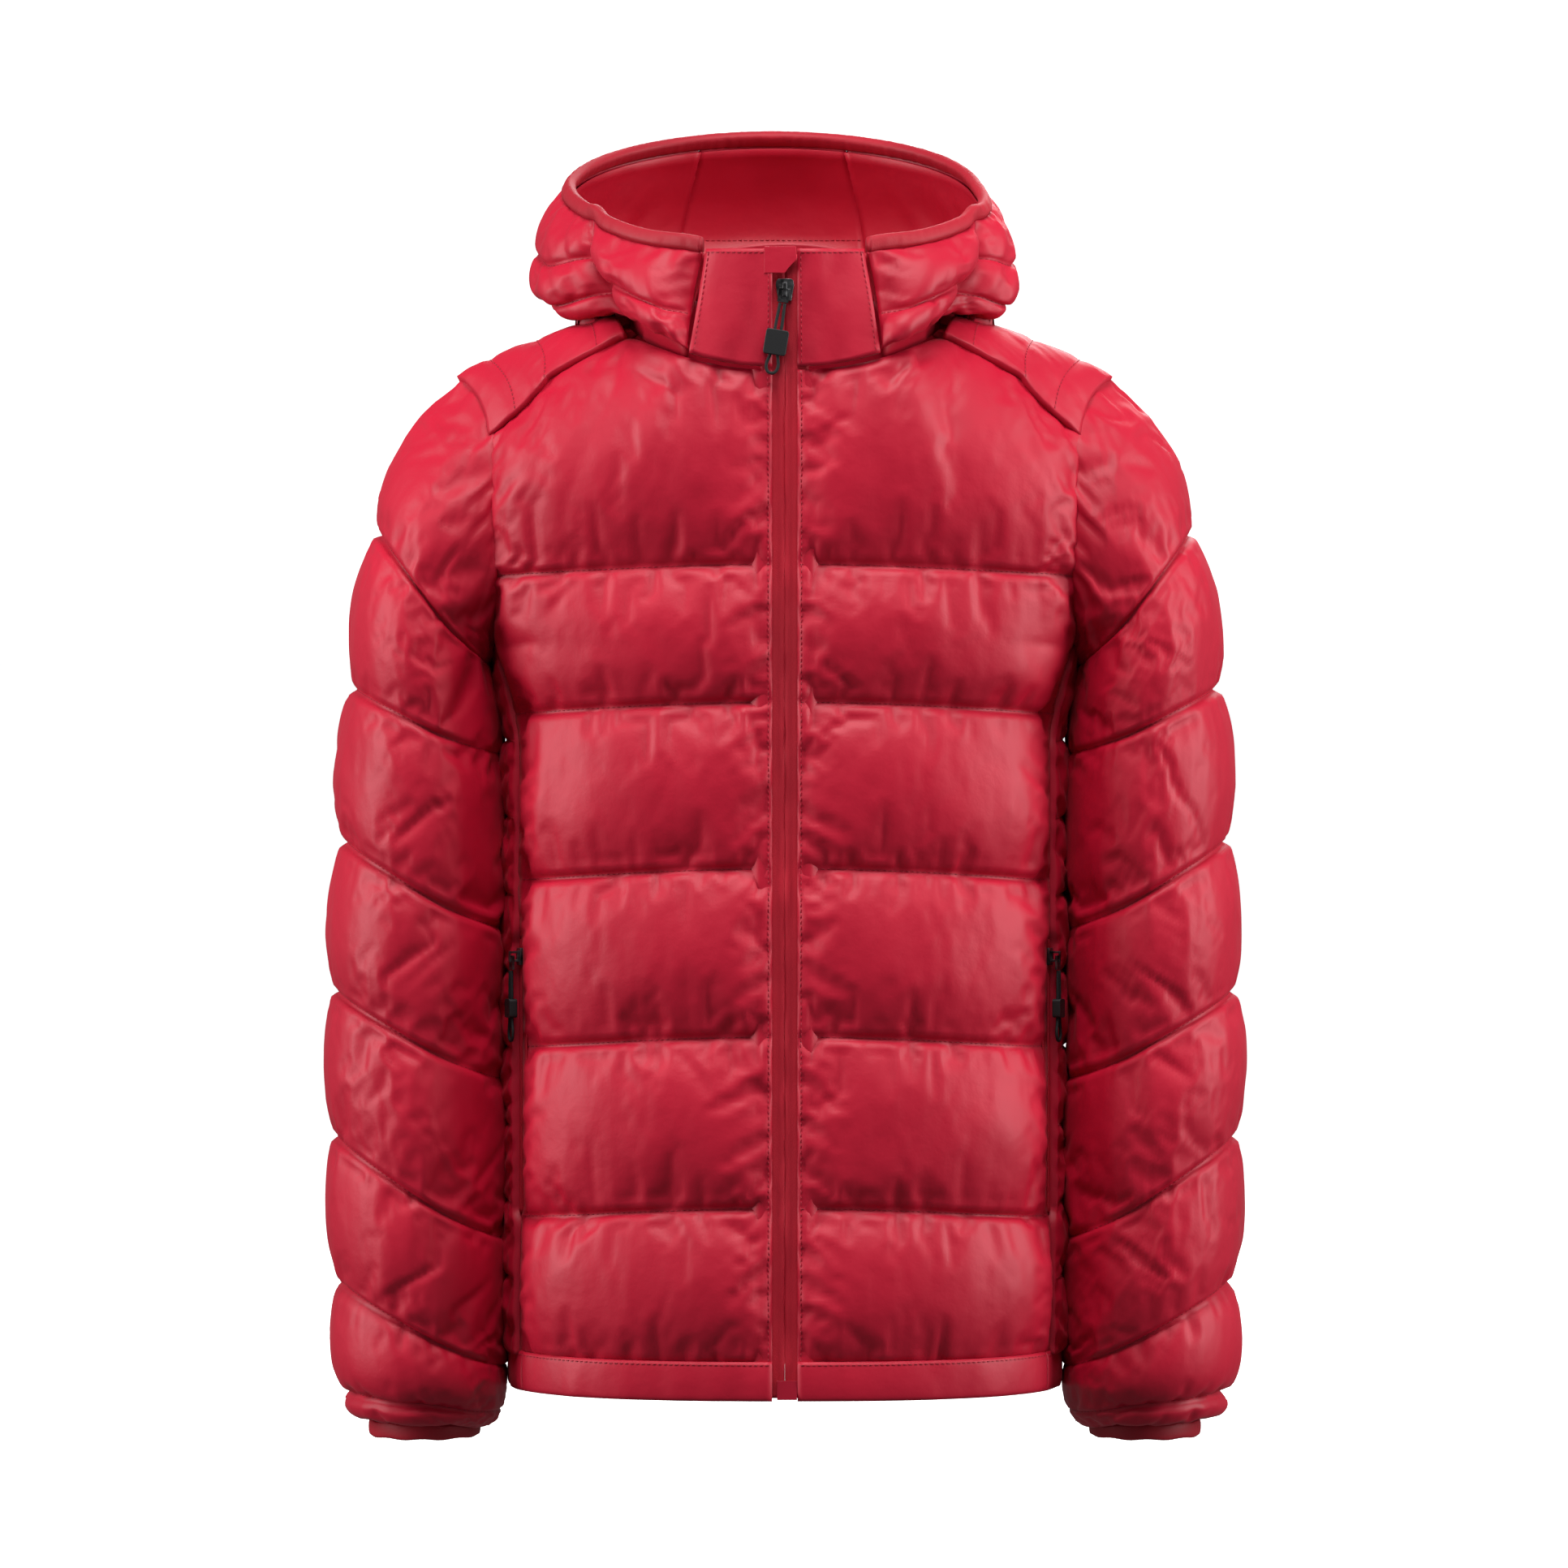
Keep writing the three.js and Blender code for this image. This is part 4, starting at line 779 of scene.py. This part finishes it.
RED = (0.43, 0.001, 0.021)
looks = {
    "shell_nylon": material("satin_nylon", RED, 0.52, sheen=0.03, vary=0.06, crinkle=0.0006, crinkle_scale=90),
    "lining_nylon": material(
        "lining_taffeta", (0.42, 0.002, 0.019), 0.5, sheen=0.02, vary=0.06, crinkle=0.0009, crinkle_scale=60,
    ),
    "binding_elastic": material(
        "elastic_binding", (0.33, 0.002, 0.014), 0.6, sheen=0.03, grain=700, grain_depth=0.0002,
    ),
    "zip_tape_polyester": material("woven_tape", (0.42, 0.003, 0.018), 0.72, vary=0.1, grain=1300, grain_depth=0.00025),
    "zip_coil_nylon": material("coil_nylon", (0.33, 0.005, 0.022), 0.35, vary=0.1),
    # The black lacquer's lighter silvery patches are painted glints.
    "slider_metal": material(
        "black_lacquer", (0.02, 0.02, 0.021), 0.3, metallic=0.85, vary=0.3, painted_glint=(0.16, 0.16, 0.165), vary_scale=160,
    ),
    "pull_cord": material("braided_cord", (0.008, 0.008, 0.009), 0.75, grain=1500, grain_depth=0.0004),
    "pull_grip": material("matte_rubber", (0.011, 0.011, 0.012), 0.5, grain=1200, grain_depth=0.0001),
}
thread = material("thread", (0.3, 0.005, 0.02), 0.55, vary=0.15, vary_scale=300)
slots = {r["node"]: r["material_slot"] for r in frame["record"]["subparts"]}
for node, slot in slots.items():
    mesh = frame["nodes"][node].data
    mesh.materials.clear()
    mesh.materials.append(looks[slot])
for cord, _, _ in cords.values():
    cord.data.materials.append(looks["pull_cord"])
print("materials:", len(looks) + 1)

# %% [markdown]
# ## Closed cloth pieces
# Each piece gets its outer face, its inner face and its turned-in edges, so it is one closed body.
# Thread lies in the seams as short raised stitches, part of the same piece so that they bend with it.

# %% Building pieces
BOX = np.array([[0, 3, 2, 1], [4, 5, 6, 7], [0, 1, 5, 4], [1, 2, 6, 5], [2, 3, 7, 6], [3, 0, 4, 7]])


def box_faces(count):
    """Faces of that many small boxes, each with four lower corners and then four upper ones."""
    return ((np.arange(count) * 8)[:, None, None] + BOX).reshape(-1, 4)


def stitches(line, normals, spacing=3.6, long=2.7, wide=0.55, high=0.4):
    """Corners and faces of small raised stitches along a line, in millimetres."""
    step = np.linalg.norm(np.diff(line, axis=0), axis=-1)
    at = np.concatenate([[0], np.cumsum(step)])
    starts = np.arange(spacing / 2, at[-1] - long, spacing)
    if len(starts) == 0:
        return np.zeros((0, 3)), np.zeros((0, 4), int)
    pick = lambda q, v: np.stack([np.interp(q, at, v[:, k]) for k in range(3)], -1)
    a, b, n = pick(starts, line), pick(starts + long, line), unit(pick(starts + long / 2, normals))
    along = unit(b - a)
    across = unit(np.cross(along, n)) * wide / 2
    taper = along * 0.45
    bottom, top = -0.35 * n, high * n
    corners = np.stack([
        a - across + bottom, b - across + bottom, b + across + bottom, a + across + bottom,
        a - across * 0.7 + top + taper, b - across * 0.7 + top - taper,
        b + across * 0.7 + top - taper, a + across * 0.7 + top + taper,
    ], 1)
    return corners.reshape(-1, 3), box_faces(len(starts))


def closed_shell(outer, inner, closed, flip):
    rows, cols = outer.shape[:2]
    size = rows * cols
    front = plain_faces(rows, cols, closed)
    back = plain_faces(rows, cols, closed, size)[:, ::-1]
    c = np.arange(cols if closed else cols - 1)
    d = (c + 1) % cols
    last = (rows - 1) * cols
    strips = [
        np.stack([d, c, c + size, d + size], -1),
        np.stack([last + c, last + d, last + d + size, last + c + size], -1),
    ]
    if not closed:
        r, q = np.arange(rows - 1) * cols, np.arange(1, rows) * cols
        e = cols - 1
        strips += [
            np.stack([r, q, q + size, r + size], -1),
            np.stack([q + e, r + e, r + e + size, q + e + size], -1),
        ]
    faces = np.concatenate([front, back] + strips)
    if flip:
        faces = faces[:, ::-1]
    return np.concatenate([outer.reshape(-1, 3), inner.reshape(-1, 3)]), faces


def stand_in(name, node, body, points, faces, smoothed=True):
    """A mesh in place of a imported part: it rides the part's body and carries the part's material slot."""
    mesh = bpy.data.meshes.new(name)
    mesh.from_pydata((points * MM).tolist(), [], faces)
    mesh.materials.append(looks[slots[node]])
    if smoothed:
        mesh.shade_smooth()
    made = bpy.data.objects.new(name, mesh)
    link(made)
    if body:
        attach(made, body)
    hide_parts(node)
    return made


def turn_out(mesh):
    """Turns the faces of closed solids so that they all face out."""
    shape = bmesh.new()
    shape.from_mesh(mesh)
    bmesh.ops.recalc_face_normals(shape, faces=shape.faces)
    shape.to_mesh(mesh)
    shape.free()


def add_piece(name, node, body, outer, inner, closed=False, flip=False, seams=()):
    points, faces = closed_shell(outer, inner, closed, flip)
    sets, shells = [points], [faces]
    marks = [np.zeros(len(faces), int)]
    count = len(points)
    for line, normals in seams:
        p, f = stitches(line, normals)
        sets.append(p)
        shells.append(f + count)
        marks.append(np.ones(len(f), int))
        count += len(p)
    made = stand_in(name, node, body, np.concatenate(sets), np.concatenate(shells).tolist())
    made.data.materials.append(thread)
    made.data.polygons.foreach_set("material_index", np.concatenate(marks))
    return made


def bend_at_armhole(made):
    """Bakes the sleeve's placement into its mesh."""
    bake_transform(made)


total = 0
for piece in pieces:
    closed = piece["closed"]
    outer = finer(piece["filled"], closed)
    base = finer(piece["grid"], closed)
    normals = unit(finer(piece["normals"], closed))
    rows = 2 * piece["rows"]
    cols = None if piece["cols"] is None else [2 * c for c in piece["cols"]]
    a, b, t, to_seam, edge = seam_maps(base, rows, cols, closed)
    seed, soft = piece["seed"] + 9, piece["soft"]
    fade = lambda away: np.exp(-away / 13) * (1 - np.exp(-away / 2))
    fine = 0.35 * soft * np.sin(np.pi * t) ** 0.6 * value_noise(a / 6, b / 14, seed)
    fine = fine + 0.95 * soft * fade(to_seam) * value_noise(a / 4.4, b / 60, seed + 1)
    fine = fine + 0.9 * soft * fade(edge) * value_noise((b + 0.4 * a) / 4.6, a / 50, seed + 2)
    groove = np.zeros_like(t)
    groove[rows[1:-1]] = 1.2
    outer = outer + normals * (fine - groove * (1 - np.exp(-edge / 6)))[..., None]
    thick = piece["thick"]
    if np.ndim(thick) == 2:
        thick = finer(thick + np.zeros(piece["grid"].shape[:2]), closed)[..., None]
    inner = base - normals * thick
    if not closed:
        # Turned-in edges: the border runs down to the inner face without a sharp corner.
        for k in (0, -1):
            inner[:, k] = mix(outer[:, k], inner[:, k], 0.55)
            inner[k] = mix(outer[k], inner[k], 0.55)
    threads = [(outer[r] + normals[r] * 0.1, normals[r]) for r in rows[1:-1]]
    if piece["cols"] is not None:
        threads += [(outer[:, 2 * c] + normals[:, 2 * c] * 0.1, normals[:, 2 * c]) for c in piece["cols"][1:-1]]
    if piece["name"].startswith("front"):
        threads.append((outer[:, 1] + normals[:, 1] * 0.15, normals[:, 1]))
    flip = not faces_out(base, normals, closed)
    sleeve = piece["name"].startswith("arm")
    body = None if sleeve else "jacket"
    made = add_piece(piece["name"], piece["node"], body, outer, inner, closed, flip, threads)
    if sleeve:
        n = piece["node"][7:]
        bend_at_armhole(made)
    total += len(made.data.vertices)
print("quilted vertices:", total)

# %% [markdown]
# ## Linings
# A thin taffeta hangs inside every panel, a little loose, so it shows soft folds.

# %% Linings
LINING_THICK = 0.8
BODY_DEPTH, HOOD_DEPTH = 10.6, 9.0


def lining(name, node, grid, normals, depth, seed, body="jacket", closed=False, folds=1.6, seams=(), rim=0.0):
    a, b = lengths(grid)
    t = np.linspace(0, 1, grid.shape[0])[:, None]
    hold = np.minimum(1, 6 * np.minimum(t, 1 - t))
    if not closed:
        s = np.linspace(0, 1, grid.shape[1])[None, :]
        hold = hold * np.minimum(1, 6 * np.minimum(s, 1 - s))
    for r in seams:
        hold = hold * (1 - np.exp(-(((np.arange(len(grid)) - r) / 2.0) ** 2)))[:, None]
    loose = value_noise(a / 16, b / 60, seed) + 0.6 * value_noise(a / 40, b / 28, seed + 1)
    drop = depth + folds * hold * (0.9 + loose) - rim * smooth(0.85, 1.0, t)
    outer = grid - normals * drop[..., None]
    inner = outer - normals * LINING_THICK
    flip = not faces_out(grid, normals, closed)
    threads = [(inner[r] - normals[r] * 0.1, -normals[r]) for r in seams]
    return add_piece(name, node, body, outer, inner, closed, flip, threads)


def lipped(grid):
    """Turns a hood lining's lower edge down behind the body, which closes the neck seam on the inside."""
    return np.concatenate([grid[:1] + np.array([0, 0, -12.0]), grid])


by_node = {p["node"]: p for p in pieces}
for n, sign in sides:
    piece = by_node[f"front_panel_{n}"]
    grid, normals = piece["grid"][1:-1, 3:-1], piece["normals"][1:-1, 3:-1]
    lining(f"front_inside_{n}", f"front_lining_{n}", grid, normals, BODY_DEPTH, 101 + sign)
    collar = by_node[f"collar_side_{n}"]["grid"]
    grid = lipped(np.concatenate([collar[:, :-1], hood_side_grid(sign, len(collar))], 1))
    normals = outward(grid, hood_inside(grid))
    names = f"hood_inside_{n}", f"hood_lining_{n}"
    lining(*names, grid, normals, HOOD_DEPTH, 111 + sign, folds=1.3, seams=[13], rim=2.4)
    grid = sleeve_grid(sign, (8, 8, 8, 8, 8, 8, 4, 2), 44)[1:-3]
    centre = grid.mean(1, keepdims=True) + np.zeros_like(grid)
    normals = outward(grid, centre, True)
    tube = lining(
        f"arm_inside_{n}", f"sleeve_lining_{n}", grid, normals, BODY_DEPTH, 121 + sign, body=None, closed=True,
    )
    bend_at_armhole(tube)
piece = by_node["back_panel"]
lining("back_inside", "back_lining", piece["grid"][1:-1, 1:-1], piece["normals"][1:-1, 1:-1], BODY_DEPTH, 131)
grid = lipped(hood_centre_grid())
normals = outward(grid, hood_inside(grid))
lining("hood_inside_middle", "hood_lining_centre", grid, normals, HOOD_DEPTH, 141, folds=1.2, seams=[19], rim=2.4)

# %% [markdown]
# ## Chin panels, neck facing and hanger loop
# The chin panels stand up beside the zip, flat and without much fill, so that the collar closes under the chin.
# A facing covers the neck seam inside, and a narrow loop on it hangs the jacket on a peg.

# %% Chin panels, neck facing and hanger loop
def chin_grid(sign, rows=31, cols=21):
    s = np.linspace(0, 1, rows)[:, None]
    t = np.linspace(0, 1, cols)[None, :]
    edge = neck_point(np.array(34.0))
    low_x = mix(8, edge[0], t)
    low = on_body(low_x, neck_z(low_x, -1), -1) + np.array([0, 0, 2.2])
    high_x = mix(8, 50, t)
    high = np.stack([high_x, front_y(10.0) + 12 * t * t, 10.0 + 0 * t], -1)
    p = low * (1 - s[..., None]) + high * s[..., None]
    p[..., 0] *= sign
    return p


def flat_piece(name, node, grid, inside, thick, depth=0.0, ripple=0.0, seed=1, body="jacket", closed=False,
               seams=(), round_off=0.0):
    """Flat cloth on a grid. Its seams are rows or columns of stitches, and round_off rounds its two long edges."""
    normals = outward(grid, inside, closed)
    a, b = lengths(grid)
    wave = ripple * value_noise(a / 12, b / 30, seed)
    if round_off > 0:
        t = np.linspace(0, 1, grid.shape[0])[:, None]
        wave = wave - round_off * (1 - np.sin(np.pi * t) ** 0.5)
    outer = grid + normals * (wave - depth)[..., None]
    inner = grid - normals * (depth + thick)
    flip = not faces_out(grid, normals, closed)
    threads = []
    for kind, k in seams:
        line, away = (outer[:, k], normals[:, k]) if kind == "column" else (outer[k], normals[k])
        threads.append((line + away * 0.1, away))
    return add_piece(name, node, body, outer, inner, closed, flip, threads)


for n, sign in sides:
    grid = chin_grid(sign)
    chin = flat_piece(f"chin_{n}", f"chin_panel_{n}", grid, hood_inside(grid), 6.2, ripple=1.4, seed=151 + sign,
                      seams=[("column", 1), ("column", -2), ("row", -2)])
    grid = grid[1:-1, 4:-1]
    flat_piece(f"chin_inside_{n}", f"chin_lining_{n}", grid, hood_inside(grid), 1.0, depth=7.4, ripple=0.3, seed=155)

turn = np.radians(np.linspace(152, 208, 41))
up = np.linspace(0, 1, 9)[:, None, None]
seat = neck_point(np.degrees(turn)) - 4 * np.stack([np.sin(turn), -np.cos(turn), 0 * turn], -1)
grid = seat[None] + up * np.array([0, 0, 17.0]) + np.array([0, 0, -1.5])
flat_piece("neck_tape", "neck_facing", grid, hood_inside(grid), 1.0, ripple=0.3, seed=161, seams=[("row", -2)])

seat_y = float(on_body(26.0, -7.0, 1)[1]) - 13.6
t = np.linspace(-1, 1, 41)
line = np.stack([26 * t, seat_y - 8 * np.sqrt(np.maximum(0, 1 - t**4)), -7 * t**4], -1)
grid = line[None] + np.linspace(-4, 4, 7)[:, None, None] * np.array([0, 0, 1.0])
flat_piece("hanger_tape", "hanger_loop", grid, grid + np.array([0, 20.0, 0]), 1.1, ripple=0.12, seed=162)

# %% [markdown]
# ## Hem band, cuffs and hood binding
# The hem is a folded band. The cuffs and the hood's edge are bound with a ribbed elastic that gathers the cloth.

# %% Bands and bindings
def hem_grid(turns, rows=13):
    z = np.linspace(-716, -691.2, rows)[:, None]
    a = np.radians(turns)[None, :]
    x = half_width(z) * np.sign(np.sin(a)) * np.abs(np.sin(a)) ** 0.8
    y = middle_y(z) - half_depth(z) * np.sign(np.cos(a)) * np.abs(np.cos(a)) ** 0.8
    return np.stack([x, y, z + 0 * a], -1)


hem = dict(thick=3.4, ripple=0.8, seams=[("row", -2)], round_off=1.3)
side_seam = 68
turn_at = lambda x: np.degrees(np.arcsin((x / 178) ** 1.25))
for n, sign in sides:
    grid = hem_grid(sign * np.linspace(turn_at(8), side_seam, 81))
    flat_piece(f"hem_{n}", f"hem_band_{n}", grid, body_inside(grid), seed=171 + sign, **hem)
grid = hem_grid(np.linspace(side_seam, 360 - side_seam, 181))
flat_piece("hem_back", "hem_band_back", grid, body_inside(grid), seed=175, **hem)

for n, sign in sides:
    turn = np.linspace(0, 2 * np.pi, 128, endpoint=False)
    rows = []
    for t in np.linspace(0, 1, 9):
        z = mix(-738.8, -749, t)
        rib = 2.7 - 0.25 * np.cos(64 * turn) + 0.8 * abs(2 * t - 1) ** 3
        rows.append(np.stack([
            (231.5 + (38.5 - rib) * np.cos(turn)) * sign, -85 - (44 - rib) * np.sin(turn), z + 0.4 * np.sin(9 * turn),
        ], -1))
    grid = np.array(rows)
    centre = grid.mean(1, keepdims=True) + np.zeros_like(grid)
    flat_piece(f"cuff_{n}", f"cuff_binding_{n}", grid, centre, 2.6, body=f"{n}_sleeve", closed=True)

# The hood's binding is folded round the pinched edge of shell and lining.
turns = np.linspace(23.5, 336.5, 421)
edge_at = hood_point(turns, RIM)
rise = unit(edge_at - hood_point(turns, 0.93))
around = unit(hood_point(turns + 0.3, RIM) - hood_point(turns - 0.3, RIM))
face = unit(np.cross(around, rise))
gather = 0.3 * value_noise(turns / 0.9, turns * 0, 181)
middle = edge_at - face * 4.6 + rise * 0.6 + np.array([0, 0, 4.4])
section, corners = [], 20
for q in np.linspace(0, 2 * np.pi, corners, endpoint=False):
    wide = np.sign(np.cos(q)) * abs(np.cos(q)) ** 0.7 * (3.9 + gather)
    tall = np.sign(np.sin(q)) * abs(np.sin(q)) ** 0.7 * 5.2
    section.append(middle + face * wide[:, None] + rise * tall)
loop = np.array(section).swapaxes(0, 1)
points = loop.reshape(-1, 3)
ends = [list(range(corners))[::-1], [len(points) - corners + k for k in range(corners)]]
binding = stand_in("hood_edge", "hood_binding", "jacket", points, plain_faces(len(loop), corners, True).tolist() + ends)
turn_out(binding.data)
print("hood binding:", round(float(lengths(edge_at[None])[0][0, -1])), "mm long")

# %% [markdown]
# ## Zips
# The coil is sewn to the back of each tape, so only the two folded tapes show from the front.

# %% Zip tapes and coils
COIL_PITCH, COIL_IN, COIL_BACK = 1.5, 0.62, 4.65


def tape_points(x0, x1, z0, z1, zip_frame, seed):
    x = np.linspace(x0, x1, 9)[None, :]
    z = np.linspace(z0, z1, int(abs(z1 - z0) / 2.2))[:, None]
    ripple = 0.22 * value_noise(z / 14 + 0 * x, np.abs(x) / 6 + 0 * z, seed)
    y = 3.4 - 0.55 * np.exp(-(((np.abs(x) - 1.6) / 1.1) ** 2)) + ripple
    return place(np.stack([x + 0 * z, y, z + 0 * x], -1), zip_frame)


def tape_piece(name, node, blocks, zip_frame, seed):
    points, faces, count = [], [], 0
    into = zip_frame[0][1]
    for x0, x1, z0, z1 in blocks:
        outer = tape_points(x0, x1, z0, z1, zip_frame, seed)
        p, f = closed_shell(outer, outer + into * 0.7, False, x1 < x0)
        points.append(p)
        faces.append(f + count)
        count += len(p)
    return stand_in(name, node, "jacket", np.concatenate(points), np.concatenate(faces).tolist())


def coil_piece(name, node, rows, zip_frame):
    """Coil turns as small leaning loops, one pitch apart."""
    points = []
    half, thick = np.array([0, 0, 0.52]), np.array([0, 1.6, 0])
    for side, outer, z0, z1 in rows:
        z = np.arange(z0, z1, COIL_PITCH)
        back = np.full_like(z, COIL_BACK)
        low = np.stack([np.full_like(z, side * COIL_IN), back, z], -1)
        high = np.stack([np.full_like(z, side * outer), back, z + 0.35 * side], -1)
        corners = np.stack([
            low - half, high - half, high + half, low + half,
            low - half * 0.6 + thick, high - half * 0.6 + thick, high + half * 0.6 + thick, low + half * 0.6 + thick,
        ], 1)
        points.append(place(corners.reshape(-1, 3), zip_frame))
    points = np.concatenate(points)
    made = stand_in(name, node, "jacket", points, box_faces(len(points) // 8).tolist(), smoothed=False)
    turn_out(made.data)
    return made


for n, sign in sides:
    tape_piece(f"tape_{n}", f"zip_tape_{n}", [(0.02 * sign, 15 * sign, -699, 20)], FRONT, 191 + sign)
    coil_piece(f"coil_{n}", f"zip_coil_{n}", [(sign, 3.2, -683, 13)], FRONT)
    frame_here = POCKET[sign]
    blocks = [(0.12, 9, -163, 11), (-0.12, -9, -163, 11)]
    tape_piece(f"pocket_tape_pair_{n}", f"pocket_tape_{n}", blocks, frame_here, 195 + sign)
    coil_piece(f"pocket_coil_pair_{n}", f"pocket_coil_{n}", [(1, 2.6, -155, 6), (-1, 2.6, -155, 6)], frame_here)
    z = np.linspace(-628, -437, 60)[:, None]
    share = np.linspace(0, 1, 24)[None, :]
    x = mix(64, 150, share) + 0 * z
    grid = on_body(sign * x, z + 0 * x, -1)
    flat_piece(f"pocket_pouch_{n}", f"pocket_bag_{n}", grid, body_inside(grid), 2.2, depth=6.8, ripple=0.2, seed=197)

# %% [markdown]
# ## Sliders, tabs and grips
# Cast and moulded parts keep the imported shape, with their edges rounded off.

# %% Hard parts
def rounded(name, node, body, width, steps=2):
    made = frame["nodes"][node].copy()
    made.data = frame["nodes"][node].data.copy()
    made.name = name
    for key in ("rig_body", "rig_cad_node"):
        if key in made:
            del made[key]
    made.parent = None
    link(made)
    made.hide_render = False
    shape = bmesh.new()
    shape.from_mesh(made.data)
    bmesh.ops.remove_doubles(shape, verts=shape.verts, dist=0.00002)
    bmesh.ops.dissolve_limit(shape, angle_limit=np.radians(1), verts=shape.verts, edges=shape.edges)
    shape.to_mesh(made.data)
    shape.free()
    bevel = made.modifiers.new("edges", "BEVEL")
    bevel.width, bevel.segments = width, steps
    bevel.limit_method, bevel.angle_limit = "ANGLE", np.radians(30)
    bevel.use_clamp_overlap = True
    made.data.shade_smooth()
    made.modifiers.new("shade", "WEIGHTED_NORMAL")
    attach(made, body)
    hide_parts(node)
    return made


rounded("slider_front", "front_slider", "front_zip_slider", 0.0003)
rounded("tab_front", "front_pull_tab", "front_zip_pull", 0.0003)
grips = {"front": rounded("grip_front", "front_pull_grip", "front_zip_pull", 0.0007, 3)}
for n, _ in sides:
    pull = f"pocket_zip_pull_{n}"
    rounded(f"slider_pocket_{n}", f"pocket_slider_{n}", f"pocket_zip_slider_{n}", 0.0002)
    rounded(f"tab_pocket_{n}", f"pocket_pull_tab_{n}", pull, 0.0002)
    grips[f"pocket_{n}"] = rounded(f"grip_pocket_{n}", f"pocket_pull_grip_{n}", pull, 0.0006, 3)
rounded("zip_box", "zip_retainer_box", "jacket", 0.0005)
rounded("zip_pin", "zip_insertion_pin", "jacket", 0.0002)
rounded("garage_fold", "zip_garage", "jacket", 0.0003)
for key, (cord, line, length) in cords.items():
    [tuple(map(float, at)) for at in line]

# %% [markdown]
# ## Room and light
# A pale floor and dome, a broad soft light above, a tall one at each side for the sleeves' pale edges, and one behind.

# %% Floor, dome and lights
WHITE = (1, 1, 1, 1)


def pale(name, glow):
    """A pale, matt surface that shows nearly white but neither greys the jacket's reflections nor lights it."""
    made = bpy.context.object
    made.name = made.data.name = name
    made.visible_glossy = made.visible_diffuse = made.visible_shadow = False
    look = material("pale_" + name, (0.92, 0.92, 0.92), 0.9, vary=0.01, vary_scale=1)
    shader = look.node_tree.nodes["Principled BSDF"]
    shader.inputs["Emission Color"].default_value = WHITE
    shader.inputs["Emission Strength"].default_value = glow
    made.data.materials.append(look)


bpy.ops.mesh.primitive_circle_add(vertices=96, radius=29.5, fill_type="NGON", location=(0, 0, -0.9))
pale("floor", 0.85)
bpy.ops.mesh.primitive_uv_sphere_add(segments=48, ring_count=24, radius=30, location=(0, 0, 0))
pale("dome", 1.1)


def soft_light(name, at, size, power, size_y=None):
    """A rectangular area light, turned to the middle of the jacket."""
    data = bpy.data.lights.new(name, "AREA")
    data.shape = "RECTANGLE"
    data.size, data.size_y = size, size_y or size
    data.energy = power
    light = bpy.data.objects.new(name, data)
    link(light)
    light.location = at
    light.rotation_euler = (Vector((0, 0, -0.35)) - Vector(at)).to_track_quat("-Z", "Y").to_euler()


soft_light("overhead", (0, -1.3, 2.3), 1.6, 92)
soft_light("side_left", (-2.6, -0.7, 0.4), 0.9, 75, 2.2)
soft_light("side_right", (2.6, -0.7, 0.4), 0.9, 75, 2.2)
soft_light("behind", (0.6, 2.8, 1.4), 1.6, 45)
world = bpy.data.worlds.new("world")
world.use_nodes = True
background = world.node_tree.nodes["Background"]
background.inputs["Color"].default_value = WHITE
background.inputs["Strength"].default_value = 0.17
bpy.context.scene.world = world

# %% [markdown]
# ## Finish
# The scene is brought up to date at the end; the quilting stands only a little out of its frame.

# %% Finish
bpy.context.view_layer.update()
